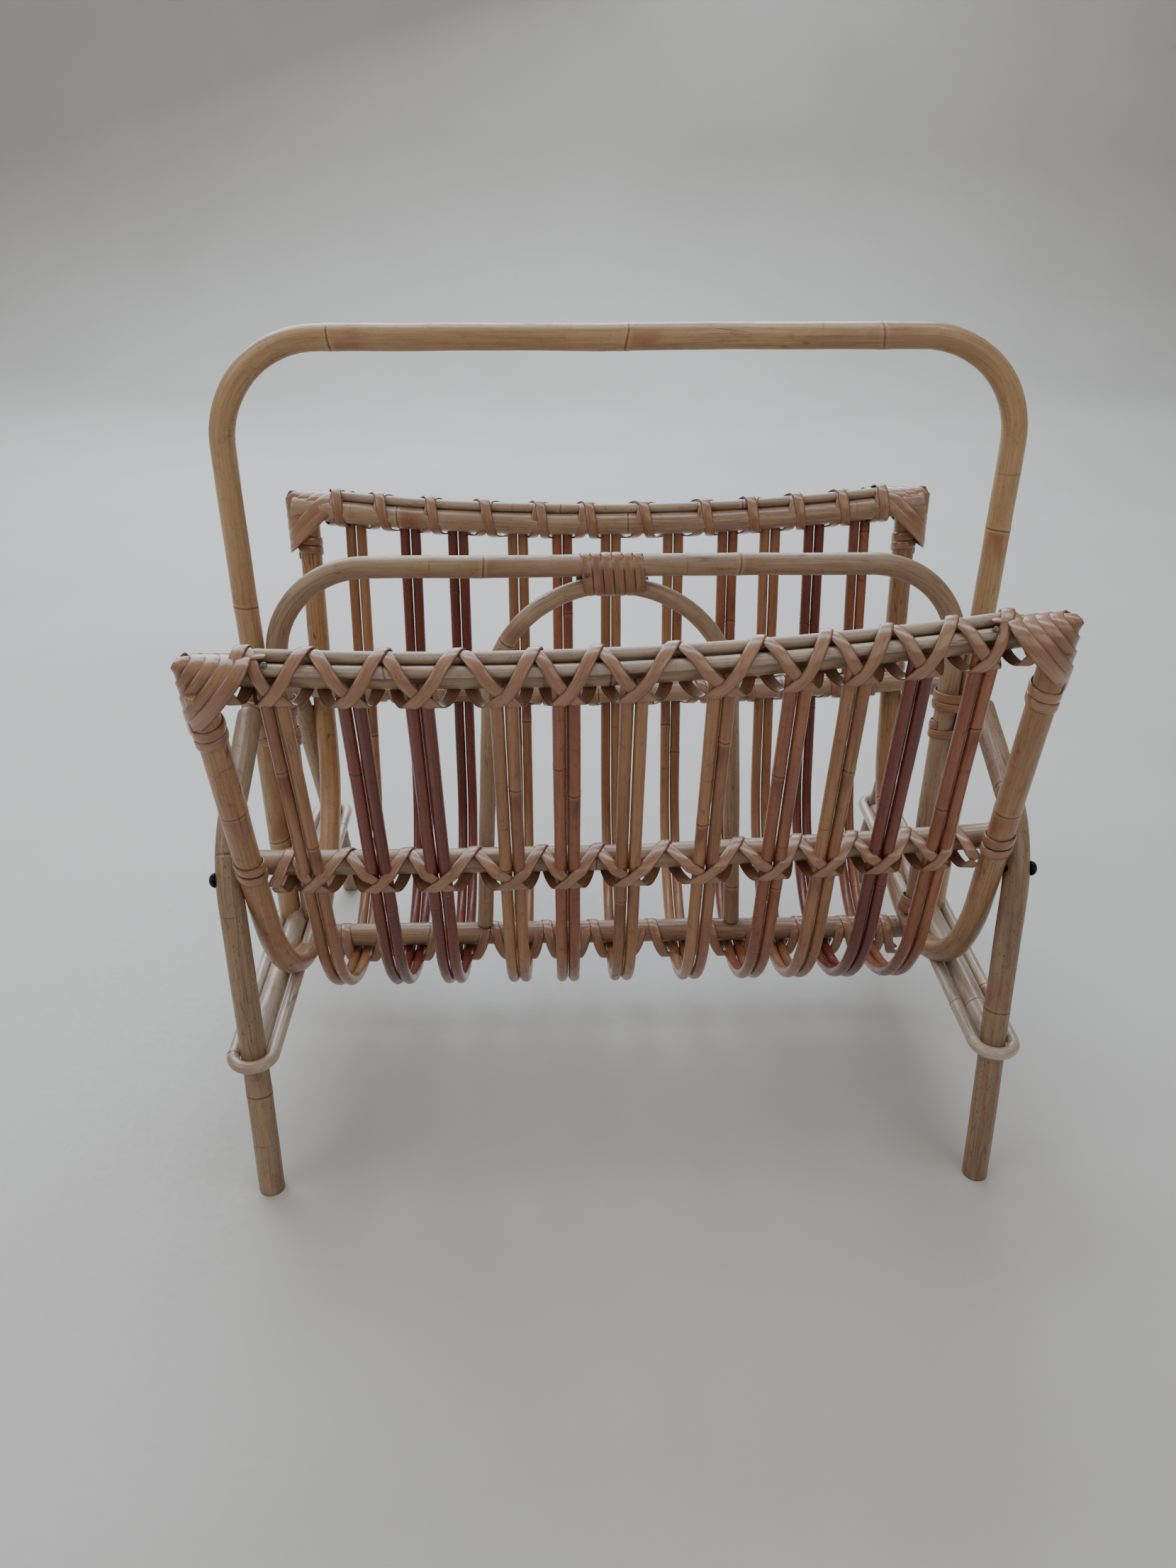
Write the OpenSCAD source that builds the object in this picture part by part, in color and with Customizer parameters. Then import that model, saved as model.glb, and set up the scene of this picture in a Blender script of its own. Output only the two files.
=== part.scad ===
// Rattan magazine rack: a trough of paired U-bent slats lashed to five rails
// between two U-bent end frames, on four splayed legs, with a carrying hoop.
// X runs along the rails, Y from front to back, Z up from the floor.

/* [Trough] */
// Lean of the two slatted walls, outward from vertical
wall_lean = 12; // [10:0.5:14]
// How much more the front wall leans at its left end, and less at its right end
front_twist = 2.5; // [0:0.5:3]
// Bend radius of the slats under the bottom rail
slat_bend_r = 95; // [85:1:100]
// Height of the bottom rail's centre line above the floor
bottom_rail_z = 62.5; // [60:0.5:70]
// Height of the front middle rail up the wall, from where the slats' bend ends
mid_rail_up_front = 51; // [45:1:70]
// Height of the back middle rail up the wall
mid_rail_up_back = 62; // [45:1:70]
// Distance up the wall from the end of the bend to the top rails
top_rail_up = 173; // [160:1:180]
// Rise of the top rails from the middle to their ends
top_bow = 12; // [6:1:16]
// Rise of the middle rails from the middle to their ends
mid_bow = 6; // [3:1:8]

/* [Slats] */
// Even spacing of the slat pairs
pair_pitch = 33; // [31:0.5:34]
// Shift of each pair from even spacing, as tied by hand
pair_shift = [0, 2, 0, 6, 2, 1, 9, 12, 7, 3, 0];
// Diameter of one slat rod
rod_d = 6.6; // [5:0.1:7]
// Space between the two rods of a pair
rod_gap = 0.4; // [0.2:0.1:1]

/* [Poles] */
// Diameter of the end frames, legs and carrying hoop
pole_d = 14; // [12:0.5:15]
// Diameter of the top and middle rails
rail_d = 13.6; // [12:0.2:14]
// Diameter of the bottom rail
bottom_rail_d = 14.6; // [13:0.2:16]
// Diameter of the two thin cap strips on each top rail
cap_d = 6; // [5:0.2:6.4]

/* [End frames] */
// Distance of each end frame from the middle, at the bottom of its bend
frame_x = 193; // [190:1:196]
// Height of the centre line at the bottom of the bend
frame_z = 69.5; // [68:0.5:76]
// Outward tilt of each end frame
frame_tilt = 0.8; // [0:0.2:2]
// Length of each post above the bend
post_len = 158; // [150:1:162]

/* [Hoops] */
// Height of the carrying hoop's centre line
handle_z = 429.5; // [380:1:460]
// Distance of the carrying hoop's legs from the middle
handle_x = 208; // [207:0.5:210]
// Corner radius of the carrying hoop
handle_bend_r = 54; // [40:1:70]
// Height of the divider hoop's centre line
divider_z = 310; // [290:1:330]
// Diameter of the divider hoop
divider_d = 12.4; // [11:0.2:13]
// Corner radius of the divider hoop
divider_bend_r = 55; // [40:1:70]
// Diameter of the arch in the middle of the divider
arch_d = 10; // [8:0.5:11]
// Half of the arch's width at the bottom rail
arch_half_w = 80; // [60:1:100]
// Inward lean of the arch's legs
arch_lean = 3.3; // [1:0.1:6]
// Shift of the arch from the middle
arch_shift = -4; // [-10:1:10]

/* [Legs] */
// Half of the distance between front and back feet
foot_y = 152; // [148:1:156]
// Half of the distance between left and right feet
foot_x = 199; // [198:0.5:200]
// Splay of the legs, front to back
leg_lean = 14.5; // [14:0.5:15]
// Splay of the legs, outward going up
leg_tilt = 3.15; // [2.8:0.05:3.3]
// Length of a leg below its bend
leg_len = 168; // [166:1:170]
// Height of the stretchers
stretcher_z = 79; // [60:1:100]
// Diameter of the stretchers
stretcher_d = 13; // [11:0.5:14]
// Diameter of the rod that loops round both legs
loop_d = 7; // [5:0.5:8]

/* [Cane] */
// Width of the cane strip
cane_w = 6.4; // [4:0.2:7]
// Thickness of the cane strip
cane_t = 1.1; // [0.8:0.1:1.4]

/* [Fasteners] */
// Diameter of the domed screw heads on the legs
screw_head_d = 8; // [6:0.5:9]
// Diameter of the screw shanks
screw_d = 4; // [3:0.5:5]
// Diameter of the tack heads
tack_head_d = 3.2; // [2:0.2:4]

/* [Hidden] */

$fn = 48;
golden = "#c39a63";
tan_brown = "#a5703f";
plum = "#6e4238";
weathered = "#9a8d6c";
cane = "#c9a68a";
iron = "#1d1f22";
steel = "#6b6f74";

fit_gap = 0.1;          // space left between poles that only touch
run_in = 0.5;           // length that a straight runs into a bend
bend_slim = 0.1;        // how much thinner a bend is than its straights
pair_count = len(pair_shift);
first_pair_x = -pair_pitch * (pair_count - 1) / 2;
rail_half = 203;        // half length of the top rails
mid_rail_half = 199;    // half length of the middle rails
bow_span = 200;         // distance from the middle at which the bow is stated

frame_flat = 4;         // straight length at the bottom of an end frame
horn_w = 5;             // width of the strip wound round a corner
wrap_w = 5.6;           // width of the strip in the other bindings

// Depth of the rails and posts, measured outward from the slats' centre line
rail_n = -(rod_d + rail_d) / 2 - fit_gap;
post_n = rail_n + (rail_d + pole_d) / 2 + fit_gap;

// Height of the slats' bend centre
slat_bend_z = bottom_rail_z - (bottom_rail_d + rod_d) / 2 - fit_gap + slat_bend_r;

// Each cap strip's place outward of and above its rail's centre
cap_reach = (rail_d + cap_d) / 2 + fit_gap;
cap_angles = [88, 42];

// The arch meets the top bar of the divider from below
arch_z = divider_z - (divider_d + arch_d) / 2 - fit_gap;
arch_base_z = bottom_rail_z + bottom_rail_d / 2;
arch_bend_r = (arch_half_w * cos(arch_lean) + (arch_base_z - arch_z) * sin(arch_lean))
    / (1 - sin(arch_lean));

divider_x = handle_x - (pole_d + divider_d) / 2 - fit_gap;
leg_bend_r = 60;
leg_bend = 54;          // degrees that a leg turns in towards the carrying hoop
leg_top_len = 66;
leg_stop_y = 4;         // the legs' tops stop this far from the middle plane
screw_z = 176;
screw_y = foot_y - screw_z * tan(leg_lean);
screw_x = foot_x + screw_z * tan(leg_tilt);
screw_len = 23;
stretcher_leg_y = foot_y - stretcher_z * tan(leg_lean);
stretcher_leg_x = foot_x + stretcher_z * tan(leg_tilt);
loop_r = (pole_d / cos(leg_lean) + loop_d) / 2 + fit_gap;

// Crossing of the two strips of a lashing, low on the outer side of each slat pair,
// and the angle at which they meet between pairs, both round the rail from outward
cross_low = -20;
cross_top = 100;
back_ease = 2.4;        // how late a strip moves on to the next pair behind its rail
stations = 12;          // sections of strip in one turn
end_knot_x = 185;       // last crossing, beside each post
cane_lay = cane_t / 2 + fit_gap;
wrap_z = 226;           // height of the binding that holds the legs to the carrying hoop

function pair_x(i) = first_pair_x + i * pair_pitch + pair_shift[i];
function knot_x(i) = i < 0 ? -end_knot_x : i >= pair_count ? end_knot_x : pair_x(i);
function mix(a, b, share) = a + (b - a) * share;
function bow_r(bow) = (bow_span * bow_span + bow * bow) / (2 * bow);
function bow_at(bow, x) = bow == 0 ? 0 : bow_r(bow) - sqrt(pow(bow_r(bow), 2) - x * x);
function mid_up(back) = back ? mid_rail_up_back : mid_rail_up_front;
function front_lean(x) = wall_lean - front_twist * x / bow_span;
function post_lean(back, right) = back ? wall_lean : front_lean(right ? frame_x : -frame_x);

// Bend of an end frame that keeps a post of this lean against the rails
function frame_bend_r(lean) =
    (slat_bend_r + post_n + (frame_z - slat_bend_z) * sin(lean) - frame_flat / 2 * cos(lean))
        / (1 - sin(lean));
function unit(v) = v / norm(v);
function power(v, p) = sign(v) * pow(abs(v), p);

// ---- poles ----

// A straight length runs a little way into the bend next to it, which is a hair thinner
module straight(d, len, $fn = 32)
    translate([0, 0, -run_in]) cylinder(h = len + run_in, d = d);
module bend(d, r, angle, $fn = 180)
    rotate_extrude(angle = angle) translate([r, 0]) circle(d = d - bend_slim, $fn = 32);

// Pole bent to a U that opens upward in the YZ plane, bend centre at the origin; lean holds
// how far its back arm and its front arm lean outward
module u_bend(d, r, lean, arm) {
    rotate([90, 0, 90])
        rotate([0, 0, lean[1] - 180]) bend(d, r, 180 - lean[0] - lean[1]);
    for (flip = [0, 1])
        mirror([0, flip, 0])
            translate([0, r * cos(lean[flip]), -r * sin(lean[flip])])
                rotate([-lean[flip], 0, 0]) straight(d, arm);
}

// Square-shouldered hoop in the XZ plane
module hoop(d, x, z_low, z_top, r) {
    for (flip = [0, 1])
        mirror([flip, 0, 0]) {
            translate([x, 0, z_top - r])
                rotate([180, 0, 0]) straight(d, z_top - r - z_low);
            translate([x - r, 0, z_top - r]) rotate([90, 0, 0]) bend(d, r, 90);
            translate([x - r, 0, z_top]) rotate([0, -90, 0]) straight(d, x - r);
        }
}

// Rail along X whose ends rise, set out and up from the rail's own centre
module bowed_rail(half, bow, d, out = 0, up = 0) {
    r = bow_r(bow) - up;
    sweep = asin(half / r);
    translate([0, out, bow_r(bow)])
        rotate([90, 0, 0])
            rotate([0, 0, -90 - sweep])
                rotate_extrude(angle = 2 * sweep, $fn = 1600)
                    translate([r, 0]) circle(d = d, $fn = 32);
}

// Places children in a rail's own frame: Y outward, Z up the wall, on the slats' line;
// the front wall is twisted, so its rails turn with it
module on_wall(back, up, out = 0) {
    tip = asin(slat_bend_r * sin(front_twist) / bow_span);
    turn = asin(up * sin(front_twist) / bow_span);
    mirror([0, back ? 0 : 1, 0])
        translate([0, slat_bend_r * cos(wall_lean), slat_bend_z - slat_bend_r * sin(wall_lean)])
            rotate([-wall_lean, 0, 0])
                translate([0, out, up])
                    rotate(back ? [0, 0, 0] : [0, -tip, -turn]) children();
}

module on_side(right) mirror([right ? 0 : 1, 0, 0]) children();

// Places children on a post's axis, this far along it from its bend
module on_post(back, right, along) {
    lean = post_lean(back, right);
    r = frame_bend_r(lean);
    on_side(right)
        translate([frame_x, 0, frame_z])
            rotate([0, frame_tilt, 0])
                mirror([0, back ? 0 : 1, 0])
                    translate([0, frame_flat / 2 + r * cos(lean), r - r * sin(lean)])
                        rotate([-lean, 0, 0])
                            translate([0, 0, along]) children();
}

module screw_axis(back)
    mirror([0, back ? 0 : 1, 0])
        translate([screw_x + pole_d / 2, screw_y, screw_z])
            rotate([0, -90, 0]) children();

// ---- frame ----

module handle_leg_axis(clear)
    translate([handle_x, 0, frame_z]) cylinder(h = handle_z - frame_z, d = pole_d + 2 * clear);

module handle_hoop()
    color(golden) hoop(pole_d, handle_x, bottom_rail_z, handle_z, handle_bend_r);

module divider_hoop()
    color(golden)
        hoop(divider_d, divider_x, frame_z + pole_d / 2 + 1, divider_z, divider_bend_r);

module center_arch() {
    bend_z = arch_z - arch_bend_r;
    arm = (bend_z - arch_base_z) / cos(arch_lean) + arch_bend_r * sin(arch_lean) / cos(arch_lean);
    color(golden)
        translate([arch_shift, 0, bend_z])
            rotate([180, 0, 90]) u_bend(arch_d, arch_bend_r, [arch_lean, arch_lean], arm);
}

// Bottom of an end frame: a short straight piece between two bends
module frame_bottom(right, d) {
    on_side(right)
        translate([frame_x, 0, frame_z])
            rotate([0, frame_tilt, 0]) {
                translate([0, -frame_flat / 2, 0])
                    rotate([-90, 0, 0]) straight(d, frame_flat + run_in);
                for (back = [false, true]) {
                    lean = post_lean(back, right);
                    mirror([0, back ? 0 : 1, 0])
                        translate([0, frame_flat / 2, frame_bend_r(lean)])
                            rotate([90, 0, 90])
                                rotate([0, 0, -90]) bend(d, frame_bend_r(lean), 90 - lean);
                }
            }
}

module end_frame(right)
    color(right ? golden : tan_brown)
        difference() {
            union() {
                frame_bottom(right, pole_d);
                for (back = [false, true])
                    on_post(back, right, 0) straight(pole_d, post_len);
            }
            for (back = [false, true])
                on_side(right) screw_axis(back) cylinder(h = screw_len + 2, d = screw_d + 0.2);
        }

module leg_pole(extra)
    translate([foot_x, foot_y, 0])
        rotate([0, leg_tilt, 0])
            rotate([leg_lean, 0, 0]) {
                translate([0, 0, -5]) cylinder(h = leg_len + 5 + run_in, d = pole_d + extra);
                translate([0, -leg_bend_r, leg_len]) {
                    rotate([90, 0, 90]) bend(pole_d + extra, leg_bend_r, leg_bend);
                    rotate([leg_bend, 0, 0])
                        translate([0, leg_bend_r, 0]) straight(pole_d + extra, leg_top_len);
                }
            }

module leg(back, right)
    color(weathered)
        on_side(right)
            difference() {
                mirror([0, back ? 0 : 1, 0]) leg_pole(0);
                translate([foot_x - 50, -foot_y - 50, -20]) cube([100, 2 * foot_y + 100, 20]);
                translate([handle_x - 30, -leg_stop_y, 0]) cube([60, 2 * leg_stop_y, handle_z]);
                handle_leg_axis(fit_gap);
                screw_axis(back)
                    translate([0, 0, -5]) cylinder(h = pole_d + 10, d = screw_d + 0.2);
            }

module stretcher(right)
    color(weathered)
        on_side(right)
            difference() {
                translate([stretcher_leg_x, stretcher_leg_y, stretcher_z])
                    rotate([90, 0, 0]) cylinder(h = 2 * stretcher_leg_y, d = stretcher_d);
                for (flip = [0, 1])
                    mirror([0, flip, 0]) leg_pole(2 * fit_gap);
            }

module stretcher_loop(right)
    color(weathered)
        on_side(right)
            translate([stretcher_leg_x, 0, stretcher_z]) {
                for (flip = [0, 1])
                    mirror([0, flip, 0])
                        translate([0, stretcher_leg_y, 0]) bend(loop_d, loop_r, 180);
                for (x = [-loop_r, loop_r])
                    translate([x, stretcher_leg_y, 0])
                        rotate([90, 0, 0]) straight(loop_d, 2 * stretcher_leg_y + run_in);
            }

// ---- rails and slats ----

module bottom_rail()
    color(weathered)
        difference() {
            translate([-frame_x, 0, bottom_rail_z])
                rotate([0, 90, 0]) cylinder(h = 2 * frame_x, d = bottom_rail_d);
            for (right = [false, true]) frame_bottom(right, pole_d + 2 * fit_gap);
        }

module mid_rail(back)
    color(weathered)
        on_wall(back, mid_up(back), rail_n) bowed_rail(mid_rail_half, mid_bow, rail_d);

module top_rail(back)
    color(weathered)
        on_wall(back, top_rail_up, rail_n) bowed_rail(rail_half, top_bow, rail_d);

module cap_strips(back)
    color(weathered)
        on_wall(back, top_rail_up, rail_n)
            for (a = cap_angles)
                bowed_rail(rail_half - 30, top_bow, cap_d, cap_reach * cos(a), cap_reach * sin(a));

module slat_pair(i) {
    arm = top_rail_up + bow_at(top_bow, pair_x(i)) + 0.8;
    colors = [golden, tan_brown, plum];
    color(colors[(i * 4 + 1) % 3])
        for (side = [-1, 1])
            translate([pair_x(i) + side * (rod_d + rod_gap) / 2, 0, slat_bend_z])
                u_bend(rod_d, slat_bend_r, [wall_lean, front_lean(pair_x(i))], arm);
}

// ---- cane ----

// Flat strip along a path; out holds the outward direction at each point
module strip(path, out, w = wrap_w) {
    n = len(path);
    rings = [for (i = [0 : n - 1])
        let (along = path[min(i + 1, n - 1)] - path[max(i - 1, 0)],
             side = unit(cross(along, out[i])) * w / 2,
             lift = unit(out[i]) * cane_t / 2)
        each [path[i] + side + lift, path[i] - side + lift,
              path[i] - side - lift, path[i] + side - lift]];
    walls = [for (i = [0 : n - 2], k = [0 : 3])
        let (a = 4 * i + k, b = 4 * i + (k + 1) % 4)
        each [[a, b, b + 4], [a, b + 4, a + 4]]];
    last = 4 * (n - 1);
    caps = [[0, 3, 2], [0, 2, 1], [last, last + 1, last + 2], [last, last + 2, last + 3]];
    polyhedron(points = rings, faces = concat(walls, caps));
}

// Coil of strip round Z, oval in plan
module coil(a, b, rise, turns, per_turn = 12) {
    n = ceil(turns * per_turn);
    angles = [for (i = [0 : n]) 360 * turns * i / n];
    strip([for (t = angles) [a * cos(t), b * sin(t), rise * t / (360 * turns)]],
          [for (t = angles) [cos(t) / a, sin(t) / b, 0]]);
}

// Place round a bundle of rail and slats, whose half sizes are outward, inward, up, down
function bundle_point(a, size, lift) =
    [((cos(a) > 0 ? size[0] : size[1]) + lift) * power(cos(a), cos(a) > 0 ? 0.77 : 1),
     ((sin(a) > 0 ? size[2] : size[3]) + lift) * power(sin(a), cos(a) > 0 ? 0.77 : 1)];
function bundle_out(a, size) =
    [0, cos(a) / size[cos(a) > 0 ? 0 : 1], sin(a) / size[sin(a) > 0 ? 2 : 3]];

// Place along the rail after turning by a from knot i; the strip is at the top between
// the knots after the first part of its turn, and on the way round the back of the rail
// it moves along most close to a knot
function turn_x(i, a, first) =
    let (middle = mix(knot_x(i), knot_x(i + 1), 0.5),
         t = a < first ? a / first : (a - first) / (360 - first))
    a < first ? mix(knot_x(i), middle, first > 180 ? 1 - pow(1 - t, back_ease) : t)
        : mix(middle, knot_x(i + 1), first > 180 ? t : pow(t, back_ease));

// Two strips wound opposite ways that cross on every slat pair
module lashing(size, bow) {
    to_top = cross_top - cross_low;
    color(cane)
        for (way = [1, -1]) {
            first = way > 0 ? to_top : 360 - to_top;
            lift = cane_lay + (way > 0 ? 1.3 * cane_t : 0);
            turns = [for (i = [-1 : pair_count - 1], k = [0 : stations - 1])
                [i, 360 * k / stations]];
            strip([for (t = turns)
                      let (x = turn_x(t[0], t[1], first),
                           q = bundle_point(cross_low + way * t[1], size, lift))
                      [x, q[0], q[1] + bow_at(bow, x)]],
                  [for (t = turns) bundle_out(cross_low + way * t[1], size)], cane_w);
        }
}

rail_r = rail_d / 2;
over_slats = rail_r + fit_gap + rod_d;

module lashing_top(back)
    on_wall(back, top_rail_up, rail_n)
        lashing([over_slats, rail_r, cap_reach * sin(cap_angles[0]) + cap_d / 2, rail_r], top_bow);

module lashing_mid(back)
    on_wall(back, mid_up(back), rail_n)
        lashing([over_slats, rail_r, rail_r, rail_r], mid_bow);

module lashing_bottom() {
    r = bottom_rail_d / 2;
    translate([0, 0, bottom_rail_z])
        rotate([-90, 0, 0]) lashing([r + fit_gap + rod_d, r, r, r], 0);
}

// Strip wound across the corner of rail and post, widening from the horn's tip; h and g
// are its half sizes across the corner and through it, and the strip lies on that cone
module horn() {
    turns = 5;
    reach = 24;         // distance covered from the tip along the corner's bisector
    tip = [rail_half + 2, 4, bow_at(top_bow, rail_half) + 7];
    n = turns * 12;
    inward = [-0.71, 0, -0.71];
    across = [-0.71, 0, 0.71];
    sections = [for (i = [0 : n]) let (s = reach * i / n)
        [360 * turns * i / n, s, 3.5 + 0.98 * s, 4.2 + min(10.6, 0.6 * s)]];
    strip([for (p = sections)
              tip + p[1] * inward + [0, min(3.4, 0.2 * p[1]), 0]
                  + p[2] * cos(p[0]) * across + [0, p[3] * sin(p[0]), 0]],
          [for (p = sections)
              across * cos(p[0]) / p[2] + [0, sin(p[0]) / p[3], 0]
                  - inward * 0.98 * pow(cos(p[0]), 2) / p[2]],
          horn_w);
}

module corner_wrap(back, right)
    color(cane) {
        on_wall(back, top_rail_up, rail_n) on_side(right) horn();
        on_post(back, right, 129) coil(pole_d / 2 + cane_lay, pole_d / 2 + cane_lay, 12, 2.1);
    }

// Turns that hold the end of a middle rail to its post
module post_wrap(back, right)
    color(cane)
        on_post(back, right, mid_up(back) - 5)
            coil(pole_d / 2 + cane_lay, pole_d / 2 + cane_lay, -11, 1.7);

// Binding of the carrying hoop's leg, the divider's leg and the legs' tops
module handle_wrap(right) {
    mid_x = (handle_x + divider_x) / 2;
    half_x = (handle_x - divider_x) / 2 + pole_d / 2 + cane_lay;
    color(cane)
        on_side(right) {
            translate([mid_x + 1.5, 0, wrap_z - 5]) coil(half_x + 1.5, 12, 12, 2.1);
            translate([mid_x, 0, wrap_z - 24]) coil(half_x, pole_d / 2 + cane_lay, 9, 1.6);
        }
}

// Binding of the carrying hoop's foot to the bend of the end frame
module foot_wrap(right)
    color(cane)
        on_side(right)
            translate([(handle_x + frame_x) / 2, 0, frame_z + pole_d / 2 - 1])
                rotate([0, 14, 0])
                    translate([0, 0, -2]) coil(16.5, pole_d / 2 + 1.4, 9, 1.7);

// Binding of the arch to the top bar of the divider
module arch_wrap() {
    mid_z = (divider_z + divider_d / 2 + arch_z - arch_d / 2) / 2;
    half_z = (divider_z + divider_d / 2 - arch_z + arch_d / 2) / 2 + cane_lay;
    color(cane)
        translate([arch_shift - 18, 0, mid_z])
            rotate([0, 90, 0]) coil(half_z, divider_d / 2 + cane_lay, 36, 6.2);
}

// ---- fasteners ----

module leg_screws()
    color(iron)
        for (right = [false, true], back = [false, true])
            on_side(right)
                screw_axis(back) {
                    cylinder(h = screw_len, d = screw_d);
                    translate([0, 0, 0.2])
                        rotate([180, 0, 0])
                            rotate_extrude()
                                intersection() {
                                    translate([0, -2.2]) circle(d = 1.35 * screw_head_d);
                                    square([screw_head_d / 2, 3.4]);
                                }
                }

module tack(at, turn)
    translate(at)
        rotate(turn) {
            cylinder(h = 0.8, d = tack_head_d);
            translate([0, 0, -7]) cylinder(h = 7.2, d = 1.2);
        }

module tacks()
    color(steel) {
        tack([arch_shift - 14, -divider_d / 2 - cane_t, divider_z - 3], [90, 0, 0]);
        for (right = [false, true], back = [false, true])
            on_wall(back, top_rail_up, rail_n)
                on_side(right) tack([rail_half - 37, rail_d / 2 + 4, 20], [-52, 0, 0]);
        for (right = [false, true])
            on_side(right)
                tack([(handle_x + divider_x) / 2, -12 - cane_t, wrap_z], [90, 0, 0]);
    }

handle_hoop();
divider_hoop();
center_arch();
end_frame(right = false);  // end_frame_left
end_frame(right = true);  // end_frame_right
leg(back = false, right = false);  // leg_front_left
leg(back = false, right = true);  // leg_front_right
leg(back = true, right = false);  // leg_back_left
leg(back = true, right = true);  // leg_back_right
stretcher(right = false);  // stretcher_left
stretcher(right = true);  // stretcher_right
stretcher_loop(right = false);  // stretcher_loop_left
stretcher_loop(right = true);  // stretcher_loop_right
bottom_rail();
mid_rail(back = false);  // mid_rail_front
mid_rail(back = true);  // mid_rail_back
top_rail(back = false);  // top_rail_front
top_rail(back = true);  // top_rail_back
cap_strips(back = false);  // cap_strips_front
cap_strips(back = true);  // cap_strips_back
slat_pair(0);  // slat_pair_01
slat_pair(1);  // slat_pair_02
slat_pair(2);  // slat_pair_03
slat_pair(3);  // slat_pair_04
slat_pair(4);  // slat_pair_05
slat_pair(5);  // slat_pair_06
slat_pair(6);  // slat_pair_07
slat_pair(7);  // slat_pair_08
slat_pair(8);  // slat_pair_09
slat_pair(9);  // slat_pair_10
slat_pair(10);  // slat_pair_11
lashing_top(back = false);  // lashing_top_front
lashing_top(back = true);  // lashing_top_back
lashing_mid(back = false);  // lashing_mid_front
lashing_mid(back = true);  // lashing_mid_back
lashing_bottom();
corner_wrap(back = false, right = false);  // corner_wrap_front_left
corner_wrap(back = false, right = true);  // corner_wrap_front_right
corner_wrap(back = true, right = false);  // corner_wrap_back_left
corner_wrap(back = true, right = true);  // corner_wrap_back_right
post_wrap(back = false, right = false);  // post_wrap_front_left
post_wrap(back = false, right = true);  // post_wrap_front_right
post_wrap(back = true, right = false);  // post_wrap_back_left
post_wrap(back = true, right = true);  // post_wrap_back_right
handle_wrap(right = false);  // handle_wrap_left
handle_wrap(right = true);  // handle_wrap_right
foot_wrap(right = false);  // foot_wrap_left
foot_wrap(right = true);  // foot_wrap_right
arch_wrap();
leg_screws();
tacks();
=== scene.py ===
"""Magazine rack of bent rattan poles, split rods and cane binding.

Every pole is a tube swept along its centre line, with growth rings and cut ends, and every
binding is a domed ribbon of cane. Lengths are in metres. The wall frame used below has its
origin on the slats' centre line where the wall starts: x is along the rack, y is outward and
z is up the wall.
"""

import math
import random

import bpy
import numpy as np
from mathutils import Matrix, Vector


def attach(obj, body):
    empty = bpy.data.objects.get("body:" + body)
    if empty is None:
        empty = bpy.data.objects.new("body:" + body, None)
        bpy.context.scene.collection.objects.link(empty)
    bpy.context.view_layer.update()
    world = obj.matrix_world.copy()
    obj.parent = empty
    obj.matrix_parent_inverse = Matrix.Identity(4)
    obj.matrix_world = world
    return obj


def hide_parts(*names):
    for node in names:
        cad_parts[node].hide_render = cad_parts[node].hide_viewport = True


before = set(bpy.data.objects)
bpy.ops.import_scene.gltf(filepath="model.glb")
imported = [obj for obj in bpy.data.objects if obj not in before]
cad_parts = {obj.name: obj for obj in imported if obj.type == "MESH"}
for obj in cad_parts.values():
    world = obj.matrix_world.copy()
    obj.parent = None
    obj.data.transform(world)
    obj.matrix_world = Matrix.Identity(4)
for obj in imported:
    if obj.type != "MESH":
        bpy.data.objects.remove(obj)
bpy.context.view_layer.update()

# ---- driving dimensions, the same as the CAD model's ----

POLE_R = 0.0070
ROD_R = 0.0033
ROD_GAP = 0.0004
RAIL_R = 0.0068
BOTTOM_RAIL_R = 0.0073
CAP_R = 0.0030
GAP = 0.0001
WALL_LEAN = math.radians(12)
FRONT_TWIST = math.radians(2.5)
SLAT_BEND_R = 0.095
BOTTOM_RAIL_Z = 0.0625
MID_RAIL_UP_FRONT, MID_RAIL_UP_BACK, MID_BOW = 0.051, 0.062, 0.006
TOP_RAIL_UP, TOP_BOW = 0.173, 0.012
RAIL_HALF, MID_RAIL_HALF, BOW_SPAN = 0.203, 0.199, 0.200
PAIR_PITCH = 0.033
PAIR_SHIFT = (0, 0.002, 0, 0.006, 0.002, 0.001, 0.009, 0.012, 0.007, 0.003, 0)
FRAME_X, FRAME_Z, FRAME_FLAT = 0.193, 0.0695, 0.004
FRAME_TILT, POST_LEN = math.radians(0.8), 0.158
HANDLE_X, HANDLE_Z, HANDLE_BEND_R = 0.208, 0.4295, 0.054
DIVIDER_R, DIVIDER_Z, DIVIDER_BEND_R = 0.0062, 0.310, 0.055
ARCH_R, ARCH_HALF_W, ARCH_LEAN, ARCH_SHIFT = 0.005, 0.080, math.radians(3.3), -0.004
FOOT_X, FOOT_Y, LEG_LEAN, LEG_TILT = 0.199, 0.152, math.radians(14.5), math.radians(3.15)
LEG_LEN, LEG_BEND_R, LEG_BEND, LEG_TOP_LEN = 0.168, 0.060, math.radians(54), 0.066
LEG_STOP_Y = 0.004
STRETCHER_Z, STRETCHER_R, LOOP_R = 0.079, 0.0065, 0.0035
CANE_W, WRAP_W, HORN_W, CANE_T = 0.0064, 0.0058, 0.0074, 0.0011
END_KNOT_X = 0.185
WRAP_Z = 0.226
SCREW_Z = 0.176

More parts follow.
